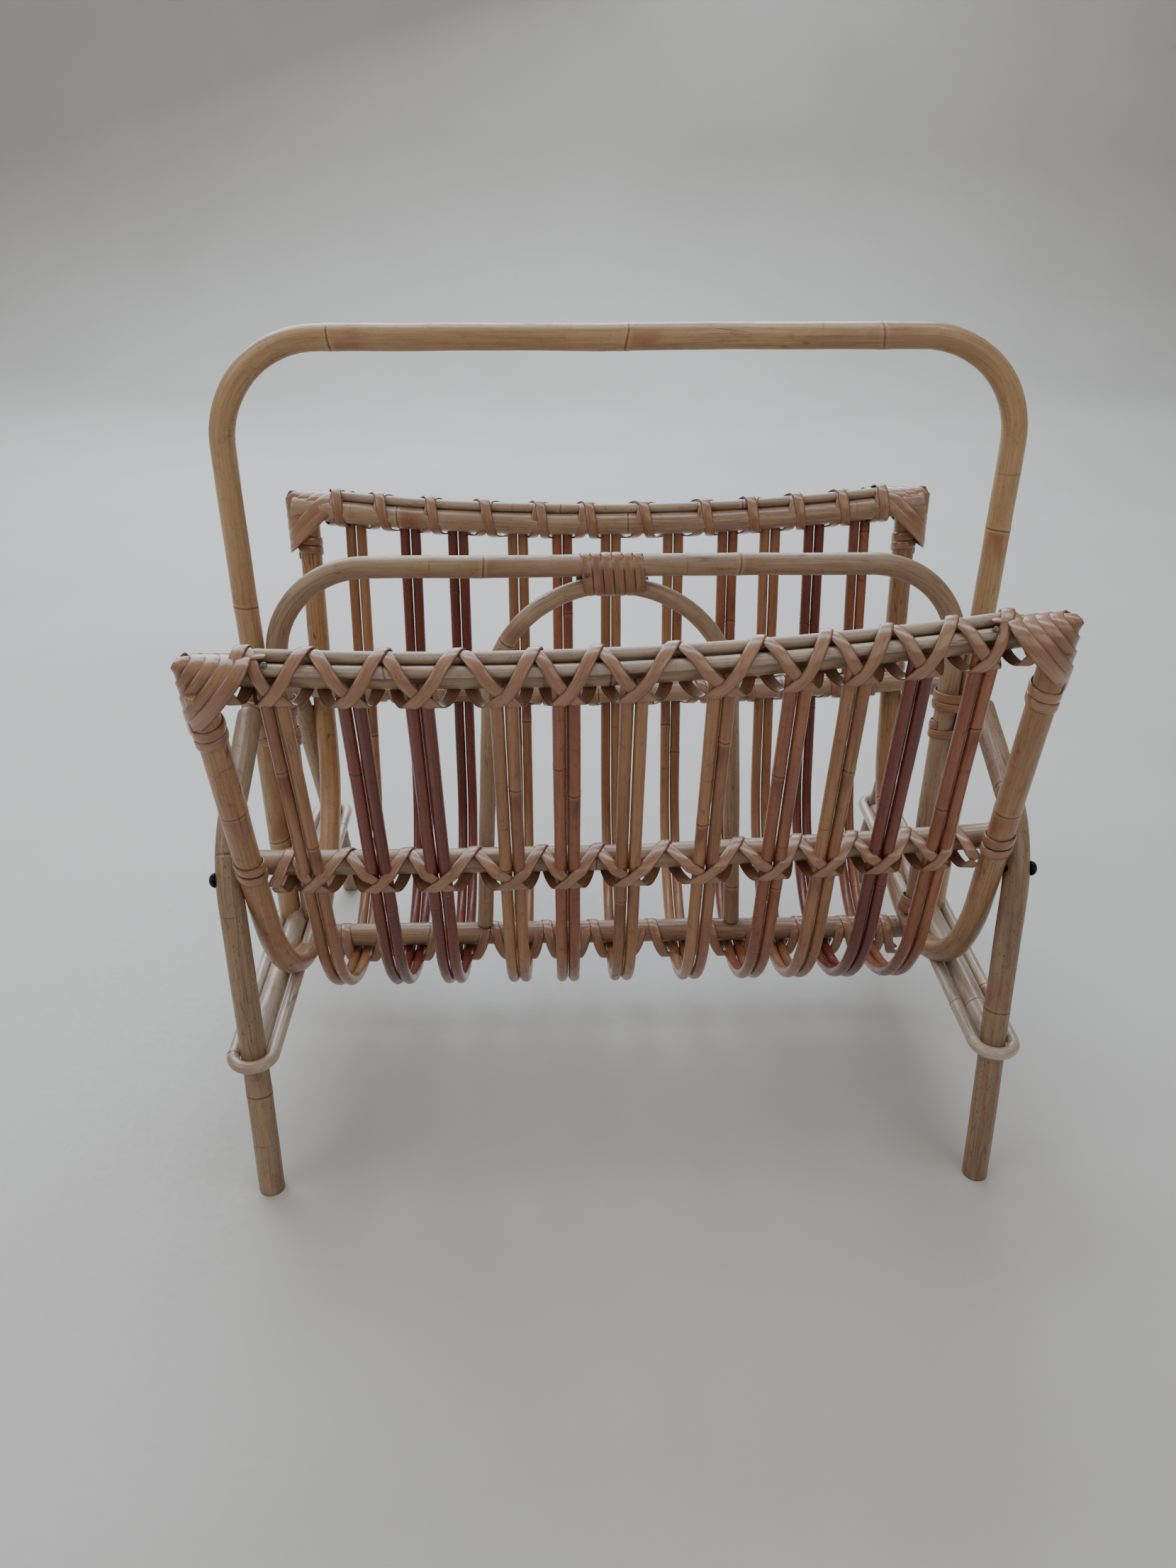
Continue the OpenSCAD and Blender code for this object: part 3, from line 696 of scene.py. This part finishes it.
SLAT_SKINS = {
    "slat_tan": rattan(
        "slat_tan", (0.41, 0.205, 0.092), (0.29, 0.125, 0.055), (0.11, 0.038, 0.021),
        (0.19, 0.06, 0.028), speckle=0.2, splits=0.4, gloss=0.5, stain=0.4),
    "slat_brown": rattan(
        "slat_brown", (0.37, 0.135, 0.06), (0.25, 0.077, 0.037), (0.08, 0.024, 0.015),
        (0.16, 0.042, 0.021), speckle=0.2, splits=0.4, gloss=0.55, stain=0.5),
    "slat_plum": rattan(
        "slat_plum", (0.215, 0.043, 0.023), (0.135, 0.024, 0.015), (0.045, 0.012, 0.009),
        (0.10, 0.022, 0.014), speckle=0.15, splits=0.35, gloss=0.6, stain=0.5),
}
CANE = cane_skin("cane_skin", (0.40, 0.22, 0.122), (0.28, 0.13, 0.068), (0.125, 0.047, 0.025))
IRON = metal("black_iron", (0.012, 0.012, 0.013), (0.05, 0.045, 0.04), 0.3, 0.85)
STEEL = metal("tack_steel", (0.20, 0.19, 0.18), (0.09, 0.055, 0.035), 0.38, 0.9)


# ---- frame ----


def hoop_path(x, low, high, radius):
    """Square-shouldered hoop in the middle plane, from the left foot to the right."""
    corners = [(-x, 0, low), (-x, 0, high), (x, 0, high), (x, 0, low)]
    return rounded(corners, radius)


def trough_path(radius, lean, arm, front=None):
    """A U that opens upward in the YZ plane, from its front tip, about its bend centre."""
    front = lean if front is None else front
    start, end = front - math.pi, -lean
    turn = np.linspace(start, end, max(8, int(radius * (end - start) / 0.0008)))
    arc = np.column_stack([0 * turn, radius * np.cos(turn), radius * np.sin(turn)])
    tips = []
    for side, tilt in ((-1, front), (1, lean)):
        y = radius * math.cos(tilt) + arm * math.sin(tilt)
        tips.append((0, side * y, arm * math.cos(tilt) - radius * math.sin(tilt)))
    return np.vstack([tips[0], arc, tips[1]])


def handle_hoop():
    path = hoop_path(HANDLE_X, BOTTOM_RAIL_Z, HANDLE_Z, HANDLE_BEND_R)
    length = resampled(path, 0.002)[1]
    rings = [0.075, 0.226, 0.405, length / 2 + 0.002, length - 0.42, length - 0.266,
             length - 0.09]
    piece = pole_mesh("carrying_hoop", path, POLE_R - 0.0003, 11, rings, around=28,
                      stray=0.0004)
    finish_piece(piece, "handle_hoop", GOLDEN)


def divider_hoop():
    path = hoop_path(DIVIDER_X, FRAME_Z + POLE_R + 0.001, DIVIDER_Z, DIVIDER_BEND_R)
    length = resampled(path, 0.002)[1]
    rings = [0.06, length / 2 - 0.075, length / 2 + 0.066, length - 0.05]
    piece = pole_mesh("divider_hoop", path, DIVIDER_R, 12, rings, around=26)
    finish_piece(piece, "divider_hoop", GREY_TAN)


def center_arch():
    bend_z = ARCH_Z - ARCH_BEND_R
    arm = (bend_z - ARCH_BASE_Z) / math.cos(ARCH_LEAN) + ARCH_BEND_R * math.tan(ARCH_LEAN)
    upright = trough_path(ARCH_BEND_R, ARCH_LEAN, arm)
    path = np.column_stack([upright[:, 1] + ARCH_SHIFT, upright[:, 0], bend_z - upright[:, 2]])
    piece = pole_mesh("center_arch", path, ARCH_R, 13, spacing=0.13, around=22)
    finish_piece(piece, "center_arch", GREY_TAN)


def end_frame(right):
    """One pole bent to a U: its halves have their own bends, with a short flat between."""
    halves = []
    for back in (False, True):
        lean = post_lean(back, right)
        r = frame_bend_r(lean)
        half = trough_path(r, lean, POST_LEN)
        half = half[half[:, 1] > 0] + (0, FRAME_FLAT / 2, r)
        halves.append(half if back else mirrored(half, True, 1)[::-1])
    path = turned_y(np.vstack(halves), FRAME_TILT) + (FRAME_X, 0, FRAME_Z)
    path = mirrored(path, not right)
    length = resampled(path, 0.002)[1]
    rings = [0.095, 0.26, 0.40, length - 0.1] if right else [0.075, 0.30, length - 0.12]
    side = "right" if right else "left"
    piece = pole_mesh("end_frame_" + side, path, POLE_R, 14 + right, rings, around=26)
    if right:
        finish_piece(piece, "end_frame_right", POST_GOLD)
    else:
        finish_piece(piece, "end_frame_left", POST_BROWN)


def leg_path():
    """The back right leg, from just under the floor to the carrying hoop."""
    straight = np.array([0, -math.sin(LEG_LEAN), math.cos(LEG_LEAN)])
    turned = LEG_LEAN + LEG_BEND
    inward = np.array([0, -math.sin(turned), math.cos(turned)])
    tangent = LEG_BEND_R * math.tan(LEG_BEND / 2)
    knee = straight * (LEG_LEN + tangent)
    path = rounded([straight * -0.003, knee, knee + inward * (tangent + LEG_TOP_LEN)], LEG_BEND_R)
    return turned_y(path, LEG_TILT) + (FOOT_X, FOOT_Y, 0)


def trim_leg(points):
    """Saws the foot level with the floor and fits the top round the carrying hoop."""
    x, y, z = points.T
    below = np.minimum(z, 0)
    y = y + below * math.tan(LEG_LEAN)
    z = z - below
    fit = (POLE_R + GAP) ** 2 - (x - HANDLE_X) ** 2
    stop = np.maximum(LEG_STOP_Y, np.sqrt(np.maximum(fit, 0)))
    past = np.where(z > 0.1, np.maximum(stop - y, 0), 0)
    return np.column_stack([x, y + past, z - past / math.tan(LEG_LEAN + LEG_BEND)])


def leg(back, right):
    def trim(points):
        own = mirrored(mirrored(points, not right), not back, 1)
        return mirrored(mirrored(trim_leg(own), not right), not back, 1)

    name = "leg_%s_%s" % ("back" if back else "front", "right" if right else "left")
    path = mirrored(mirrored(leg_path(), not right), not back, 1)
    rings = [0.104, 0.232] if right else [0.062, 0.198]
    piece = pole_mesh(name, path, POLE_R, 20 + 2 * back + right, rings, around=26, trim=trim)
    finish_piece(piece, name, LEG_SKIN)


def stretcher(right):
    x, y = LEG_AT_LOOP
    sign = 1 if right else -1

    def trim(points):
        reach = (POLE_R + GAP) ** 2 - (points[:, 0] - sign * x) ** 2
        end = y - (points[:, 2] - STRETCHER_Z) * math.tan(LEG_LEAN)
        end = end - np.sqrt(np.maximum(reach, 0)) / math.cos(LEG_LEAN)
        points[:, 1] = np.clip(points[:, 1], -end, end)
        return points

    name = "stretcher_right" if right else "stretcher_left"
    path = np.array([(sign * x, -y, STRETCHER_Z), (sign * x, y, STRETCHER_Z)])
    piece = pole_mesh(name, path, STRETCHER_R, 30 + right, around=24, trim=trim)
    finish_piece(piece, name, WORN_AND_PAINTED_HIGHLIGHT)


def stretcher_loop(right):
    """One rod round both legs, its ends meeting on the inner side."""
    x, y = LEG_AT_LOOP
    r = LOOP_BEND_R
    inner, outer, end = x - r, x + r, y + r
    corners = [(inner, 0.0003), (inner, end), (outer, end), (outer, -end), (inner, -end),
               (inner, -0.0003)]
    path = mirrored(rounded([(a, b, STRETCHER_Z) for a, b in corners], r - 1e-5), not right)
    name = "stretcher_loop_right" if right else "stretcher_loop_left"
    piece = pole_mesh(name, path, LOOP_R, 32 + right, spacing=0.1, around=18, stray=0.0001,
                      step=0.0025)
    finish_piece(piece, name, WORN_AND_PAINTED_HIGHLIGHT)


# ---- rails and slats ----


def bowed_path(half, bow, out=0.0, up=0.0):
    x = np.linspace(-half, half, 300)
    r = (BOW_SPAN**2 + bow**2) / (2 * bow)
    return np.column_stack([x, np.full_like(x, out), r - np.sqrt((r - up) ** 2 - x * x)])


def bottom_rail():
    def trim(points):
        fit = (POLE_R + GAP) ** 2 - (points[:, 2] - FRAME_Z) ** 2
        end = FRAME_X - np.sqrt(np.maximum(fit, 0))
        points[:, 0] = np.clip(points[:, 0], -end, end)
        return points

    path = np.array([(-FRAME_X, 0, BOTTOM_RAIL_Z), (FRAME_X, 0, BOTTOM_RAIL_Z)])
    piece = pole_mesh("bottom_rail", path, BOTTOM_RAIL_R, 40, around=26, trim=trim)
    finish_piece(piece, "bottom_rail", RAIL_SKIN)


def wall_rails(back):
    side = "back" if back else "front"
    path = on_wall(bowed_path(MID_RAIL_HALF, MID_BOW), back, mid_up(back), RAIL_N)
    piece = pole_mesh("mid_rail_" + side, path, RAIL_R, 41 + back, around=26)
    finish_piece(piece, "mid_rail_" + side, RAIL_SKIN)
    path = on_wall(bowed_path(RAIL_HALF, TOP_BOW), back, TOP_RAIL_UP, RAIL_N)
    piece = pole_mesh("top_rail_" + side, path, RAIL_R, 43 + back, around=26)
    finish_piece(piece, "top_rail_" + side, RAIL_SKIN)


def cap_strips(back):
    """Two thin rods laid on top of a top rail."""
    side = "back" if back else "front"
    rods = []
    for k, angle in enumerate(CAP_ANGLES):
        out, up = CAP_REACH * math.cos(angle), CAP_REACH * math.sin(angle)
        local = bowed_path(RAIL_HALF - 0.030, TOP_BOW, out, up)
        path = on_wall(local, back, TOP_RAIL_UP, RAIL_N)
        rods.append(pole_mesh("cap_%d" % k, path, CAP_R, 50 + 2 * back + k, spacing=0.16,
                              around=16, stray=0.0001, swell=0.00018))
    finish_piece(join("cap_strips_" + side, rods), "cap_strips_" + side, WORN_AND_PAINTED_HIGHLIGHT)


SLAT_SLOTS = ("slat_tan", "slat_plum", "slat_plum", "slat_tan", "slat_brown", "slat_tan",
              "slat_tan", "slat_brown", "slat_tan", "slat_plum", "slat_brown")


# How much darker each pair's right rod is than its left one (below 0: lighter).
ROD_CONTRAST = (-0.6, 0.5, -0.2, 0.4, 0.5, -0.9, 0.9, -0.3, 0.4, 0.3, -0.6)


def slat_pair(i):
    """Two rods side by side that run down the front wall, under the rack and up the back."""
    arm = TOP_RAIL_UP + float(bow_at(TOP_BOW, pair_x(i))) + 0.0008
    trough = trough_path(SLAT_BEND_R, WALL_LEAN, arm, front_lean(pair_x(i)))
    rods = []
    for side in (-1, 1):
        path = trough + (pair_x(i) + side * (ROD_R + ROD_GAP / 2), 0, SLAT_BEND_Z)
        rods.append(pole_mesh("rod", path, ROD_R, 100 + 2 * i + (side > 0), spacing=0.17,
                              around=16, stray=0.00012, swell=0.0002,
                              tone=0.5 + 0.5 * side * ROD_CONTRAST[i]))
    name = "slat_pair_%02d" % (i + 1)
    finish_piece(join(name, rods), name, SLAT_SKINS[SLAT_SLOTS[i]])


# ---- cane ----


# One turn of a lashing, seen along the rail, from a crossing on the slats (0) over the top (1)
# and round behind to the next crossing (2). Then come its place outward and its place upward,
# as shares of how far the bundle reaches that way.
LASHING_TURN = (
    (0.00, 1.00, -0.50), (0.20, 1.01, 0.06), (0.40, 0.99, 0.40), (0.58, 0.73, 0.76),
    (0.76, 0.42, 0.93), (0.94, 0.08, 1.00), (1.03, -0.30, 0.93), (1.08, -0.80, 0.52),
    (1.12, -1.02, -0.10), (1.17, -0.75, -0.85), (1.24, 0.08, -1.14), (1.34, 0.44, -1.28),
    (1.47, 0.80, -1.30), (1.62, 1.00, -1.18), (1.80, 1.03, -0.90), (2.00, 1.00, -0.50),
)


def near(value, place, reach):
    """1 at a place, falling smoothly to 0 at its reach."""
    t = np.clip(1 - np.abs(value - place) / reach, 0, 1)
    return t * t * (3 - 2 * t)


def turn_section(size, stations=48):
    """One turn's stations, places and outward directions round a bundle.

    size is how far the bundle reaches outward, inward, up and down.
    """
    share, out, up = np.array(LASHING_TURN).T
    out = np.where(out > 0, out * size[0], out * size[1])
    up = np.where(up > 0, up * size[2], up * size[3])
    at = 2 * np.arange(stations) / stations
    points = np.column_stack([np.interp(at, share, out), np.interp(at, share, up)])
    weights = np.array([1, 3, 4, 3, 1]) / 12
    points = sum(w * np.roll(points, k - 2, axis=0) for k, w in enumerate(weights))
    ahead = unit_rows(np.roll(points, -1, axis=0) - np.roll(points, 1, axis=0))
    return at, points, np.column_stack([ahead[:, 1], -ahead[:, 0]])


def lashing_strands(size, bow, seed):
    """Two strips wound opposite ways round a rail, crossing on every slat pair and on top."""
    rng = random.Random(seed)
    at, points, normals = turn_section(size)
    strands = []
    for way in (1, -1):
        path, out = [], []
        for i in range(-1, PAIRS):
            start, end = (knot_x(i), knot_x(i + 1))[::way]
            middle = (start + end) / 2 + rng.uniform(-0.0015, 0.0015)
            x = np.interp(at, (0, 1, 2), (start, middle, end))
            over = near(at, 0, 0.45) + near(at, 2, 0.45) + near(at, 1, 0.5)
            lift = CANE_LAY + 1.15 * CANE_T * over * (way > 0)
            place = points + normals * lift[:, None]
            cell = np.column_stack([x, place[:, 0], place[:, 1] + bow_at(bow, x)])
            facing = np.column_stack([0 * x, normals])
            path.append(cell if way > 0 else cell[::-1])
            out.append(facing if way > 0 else facing[::-1])
        strands.append((np.vstack(path), np.vstack(out)))
    return strands


def placed(strands, place, turn):
    return [(place(path), turn(out)) for path, out in strands]


def wall_lashings(back):
    side = "back" if back else "front"
    over_slats = RAIL_R + GAP + 2 * ROD_R
    cap_top = CAP_REACH * math.sin(CAP_ANGLES[0]) + CAP_R
    rails = (
        ("top", TOP_RAIL_UP, TOP_BOW, (over_slats, RAIL_R, cap_top, RAIL_R)),
        ("mid", mid_up(back), MID_BOW, (over_slats, RAIL_R, RAIL_R, RAIL_R)),
    )
    for k, (level, up, bow, size) in enumerate(rails):
        strands = placed(
            lashing_strands(size, bow, 200 + 2 * back + k),
            lambda p, up=up: on_wall(p, back, up, RAIL_N),
            lambda v, up=up: wall_direction(v, back, up),
        )
        name = "lashing_%s_%s" % (level, side)
        piece = ribbon_mesh(name, strands, 210 + 2 * back + k, CANE_W)
        finish_piece(piece, name, CANE)


def bottom_lashing():
    r = BOTTOM_RAIL_R
    strands = placed(
        lashing_strands((r + GAP + 2 * ROD_R, r, r, r), 0, 204),
        lambda p: np.column_stack([p[:, 0], p[:, 2], BOTTOM_RAIL_Z - p[:, 1]]),
        lambda v: np.column_stack([v[:, 0], v[:, 2], -v[:, 1]]),
    )
    piece = ribbon_mesh("lashing_bottom", strands, 214, CANE_W)
    finish_piece(piece, "lashing_bottom", CANE)


def coil(a, b, rise, turns, centre=(0, 0, 0), per_turn=40):
    """A strand coiled round Z, oval in plan."""
    t = np.linspace(0, 2 * math.pi * turns, int(turns * per_turn))
    path = np.column_stack([a * np.cos(t), b * np.sin(t), rise * t / t[-1]])
    out = np.column_stack([np.cos(t) / a, np.sin(t) / b, 0 * t])
    return path + np.array(centre), out


def horn_strand():
    """The strip round a corner of top rail and post, widening from the horn's tip.

    h and g are its half sizes across the corner and through it, and it lies on that cone.
    """
    turns, reach, slope = 5, 0.024, 0.98
    share = np.linspace(0, 1, turns * 40)
    a, s = 2 * math.pi * turns * share, reach * share
    h = 0.0035 + slope * s
    g = 0.0042 + np.minimum(0.0106, 0.6 * s)
    tip = np.array([RAIL_HALF + 0.002, 0.004, float(bow_at(TOP_BOW, RAIL_HALF)) + 0.007])
    inward, across, through = np.array([[-0.71, 0, -0.71], [-0.71, 0, 0.71], [0, 1, 0]])
    cos, sin = np.cos(a)[:, None], np.sin(a)[:, None]
    s, h, g = s[:, None], h[:, None], g[:, None]
    path = tip + s * inward + np.minimum(0.0034, 0.2 * s) * through
    path = path + h * cos * across + g * sin * through
    out = across * cos / h + through * sin / g - inward * slope * cos**2 / h
    return path, out


def corner_wrap(back, right):
    """The horn, and the turns that run on down the post."""
    horn = placed(
        [horn_strand()],
        lambda p: on_wall(mirrored(p, not right), back, TOP_RAIL_UP, RAIL_N),
        lambda v: wall_direction(mirrored(v, not right), back, TOP_RAIL_UP),
    )
    lay = POLE_R + CANE_LAY
    post = placed(
        [coil(lay, lay, 0.012, 2.1)],
        lambda p: on_post(p, back, right, 0.129),
        lambda v: post_direction(v, back, right),
    )
    name = "corner_wrap_%s_%s" % ("back" if back else "front", "right" if right else "left")
    parts = [ribbon_mesh("horn", horn, 220 + 2 * back + right, HORN_W),
             ribbon_mesh("turns", post, 225 + 2 * back + right)]
    finish_piece(join(name, parts), name, CANE)


def post_wrap(back, right):
    lay = POLE_R + CANE_LAY
    strands = placed(
        [coil(lay, lay, -0.011, 1.7)],
        lambda p: on_post(p, back, right, mid_up(back) - 0.005),
        lambda v: post_direction(v, back, right),
    )
    name = "post_wrap_%s_%s" % ("back" if back else "front", "right" if right else "left")
    piece = ribbon_mesh(name, strands, 230 + 2 * back + right)
    finish_piece(piece, name, CANE)


def handle_wrap(right):
    """Binds the carrying hoop's leg, the divider's leg and the tops of the rack's legs."""
    mid_x = (HANDLE_X + DIVIDER_X) / 2
    half_x = (HANDLE_X - DIVIDER_X) / 2 + POLE_R + CANE_LAY
    upper = coil(half_x + 0.0015, 0.012, 0.012, 2.1, (mid_x + 0.0015, 0, WRAP_Z - 0.005))
    lower = coil(half_x, POLE_R + CANE_LAY, 0.009, 1.6, (mid_x, 0, WRAP_Z - 0.024))
    strands = placed([upper, lower], lambda p: mirrored(p, not right),
                     lambda v: mirrored(v, not right))
    name = "handle_wrap_right" if right else "handle_wrap_left"
    piece = ribbon_mesh(name, strands, 240 + right)
    finish_piece(piece, name, CANE)


def foot_wrap(right):
    """Binds the carrying hoop's foot to the bend of the end frame."""
    strand = coil(0.0165, POLE_R + 0.0014, 0.009, 1.7, (0, 0, -0.002))
    foot = np.array([(HANDLE_X + FRAME_X) / 2, 0, FRAME_Z + POLE_R - 0.001])
    strands = placed(
        [strand],
        lambda p: mirrored(turned_y(p, math.radians(14)) + foot, not right),
        lambda v: mirrored(turned_y(v, math.radians(14)), not right),
    )
    name = "foot_wrap_right" if right else "foot_wrap_left"
    piece = ribbon_mesh(name, strands, 250 + right)
    finish_piece(piece, name, CANE)


def arch_wrap():
    """Upright turns of cane that hold the arch to the top bar of the divider."""
    top, low = DIVIDER_Z + DIVIDER_R, ARCH_Z - ARCH_R
    path, out = coil((top - low) / 2 + CANE_LAY, DIVIDER_R + CANE_LAY, 0.036, 6.2)
    middle = np.array([ARCH_SHIFT - 0.018, 0, (top + low) / 2])
    path = np.column_stack([path[:, 2], path[:, 1], -path[:, 0]]) + middle
    out = np.column_stack([out[:, 2], out[:, 1], -out[:, 0]])
    piece = ribbon_mesh("arch_wrap", [(path, out)], 260)
    finish_piece(piece, "arch_wrap", CANE)


# ---- fasteners ----

SCREW_PROFILE = (
    (0.0019, -0.0220), (0.0019, -0.0003), (0.0038, -0.0002), (0.0040, 0.0001),
    (0.0040, 0.0005), (0.0038, 0.0012), (0.0033, 0.0019), (0.0026, 0.0025),
    (0.0019, 0.00285), (0.0014, 0.0030), (0.00125, 0.0029), (0.0011, 0.0016),
    (0.0003, 0.0014),
)
TACK_PROFILE = (
    (0.0006, -0.0070), (0.0006, -0.0001), (0.0014, 0.0), (0.0016, 0.00015),
    (0.00155, 0.0004), (0.0012, 0.00065), (0.0006, 0.0008), (0.0002, 0.00082),
)


def leg_screws():
    x = FOOT_X + SCREW_Z * math.tan(LEG_TILT) + POLE_R
    y = FOOT_Y - SCREW_Z * math.tan(LEG_LEAN)
    places = [((sx * x, sy * y, SCREW_Z), (sx, 0, 0)) for sx in (-1, 1) for sy in (-1, 1)]
    finish_piece(lathe_mesh("leg_screws", places, SCREW_PROFILE), "leg_screws",
                 IRON)


def tacks():
    places = [((ARCH_SHIFT - 0.014, -DIVIDER_R - CANE_T, DIVIDER_Z - 0.003), (0, -1, 0))]
    slope = math.radians(52)
    for right in (False, True):
        for back in (False, True):
            at = mirrored([(RAIL_HALF - 0.037, RAIL_R + 0.004, 0.020)], not right)
            at = on_wall(at, back, TOP_RAIL_UP, RAIL_N)
            tack_axis = [(0, math.sin(slope), math.cos(slope))]
            places.append((at[0], wall_direction(tack_axis, back, TOP_RAIL_UP)[0]))
        sign = 1 if right else -1
        mid_x = sign * (HANDLE_X + DIVIDER_X) / 2
        places.append(((mid_x, -0.012 - CANE_T, WRAP_Z), (0, -1, 0)))
    piece = lathe_mesh("tacks", places, TACK_PROFILE, around=20)
    finish_piece(piece, "tacks", STEEL)


# ---- stage ----


def floor_material():
    n = Nodes("pale_floor")
    place = n.add("TexCoord", "Object")
    cloud = n.noise(place, 2.5, 4.0)
    grit = n.noise(place, 240.0, 3.0)
    colour = n.mix(n.fit(cloud, 0.3, 0.7), (0.50, 0.475, 0.445), (0.54, 0.515, 0.485))
    n.put(n.shader.inputs["Base Color"], colour)
    n.put(n.shader.inputs["Roughness"], n.fit(grit, 0.3, 0.7, 0.55, 0.7))
    return n.material


def stage():
    """A pale floor that curves up to a wall behind."""
    wide, depth, rise, bend = 4.0, 2.6, 3.2, 0.5
    line = [(-3.0, 0.0), (depth - bend, 0.0)]
    for k in range(1, 25):
        t = math.pi / 2 * k / 24
        line.append((depth - bend + bend * math.sin(t), bend - bend * math.cos(t)))
    line.append((depth, rise))
    points = np.array([(x, y, z) for y, z in line for x in (-wide, wide)])
    faces = [[2 * k, 2 * k + 1, 2 * k + 3, 2 * k + 2] for k in range(len(line) - 1)]
    floor = new_piece("floor", points, faces, {})
    floor.data.materials.append(floor_material())


def area_light(name, at, target, size, power_w, colour):
    data = bpy.data.lights.new(name, "AREA")
    data.shape = "RECTANGLE"
    data.size, data.size_y = size
    data.energy = power_w
    data.color = colour
    light = bpy.data.objects.new(name, data)
    light.location = at
    toward = [t - a for t, a in zip(target, at)]
    light.rotation_euler = Vector(toward).to_track_quat("-Z", "Y").to_euler()
    bpy.context.scene.collection.objects.link(light)


def lights():
    area_light("window", (-0.4, 1.8, 1.7), (0, 0, 0.2), (2.8, 1.9), 84, (0.80, 0.90, 1.0))
    area_light("sky", (0.1, 0.25, 2.2), (0, 0, 0.2), (2.4, 0.5), 18, (0.80, 0.90, 1.0))
    area_light("left", (-1.9, -0.9, 1.6), (0, 0, 0.2), (1.6, 1.6), 14, (1.0, 0.95, 0.89))
    area_light("front", (1.3, -2.2, 1.9), (0, 0, 0.15), (2.0, 2.0), 15, (1.0, 0.95, 0.88))
    world = bpy.data.worlds.new("studio")
    world.use_nodes = True
    background = world.node_tree.nodes["Background"]
    background.inputs["Color"].default_value = (1.0, 0.97, 0.93, 1.0)
    background.inputs["Strength"].default_value = 0.24
    bpy.context.scene.world = world


def camera():
    """The photograph's viewpoint: in front, above, and a little left of the middle."""
    pitch, yaw = math.radians(28.74), math.radians(1.56)
    data = bpy.data.cameras.new("camera")
    data.sensor_fit = "VERTICAL"
    data.sensor_height = 36.0
    data.lens = 27.07
    data.clip_start = 0.02
    view = bpy.data.objects.new("camera", data)
    view.location = (-0.0345, -0.6293, 0.5175)
    view.rotation_euler = (math.pi / 2 - pitch, 0, -yaw)
    bpy.context.scene.collection.objects.link(view)
    bpy.context.scene.camera = view


def build():
    handle_hoop()
    divider_hoop()
    center_arch()
    bottom_rail()
    bottom_lashing()
    for right in (False, True):
        end_frame(right)
        stretcher(right)
        stretcher_loop(right)
        handle_wrap(right)
        foot_wrap(right)
        for back in (False, True):
            leg(back, right)
            corner_wrap(back, right)
            post_wrap(back, right)
    for back in (False, True):
        wall_rails(back)
        cap_strips(back)
        wall_lashings(back)
    for i in range(PAIRS):
        slat_pair(i)
    arch_wrap()
    leg_screws()
    tacks()


camera()
lights()
stage()
build()
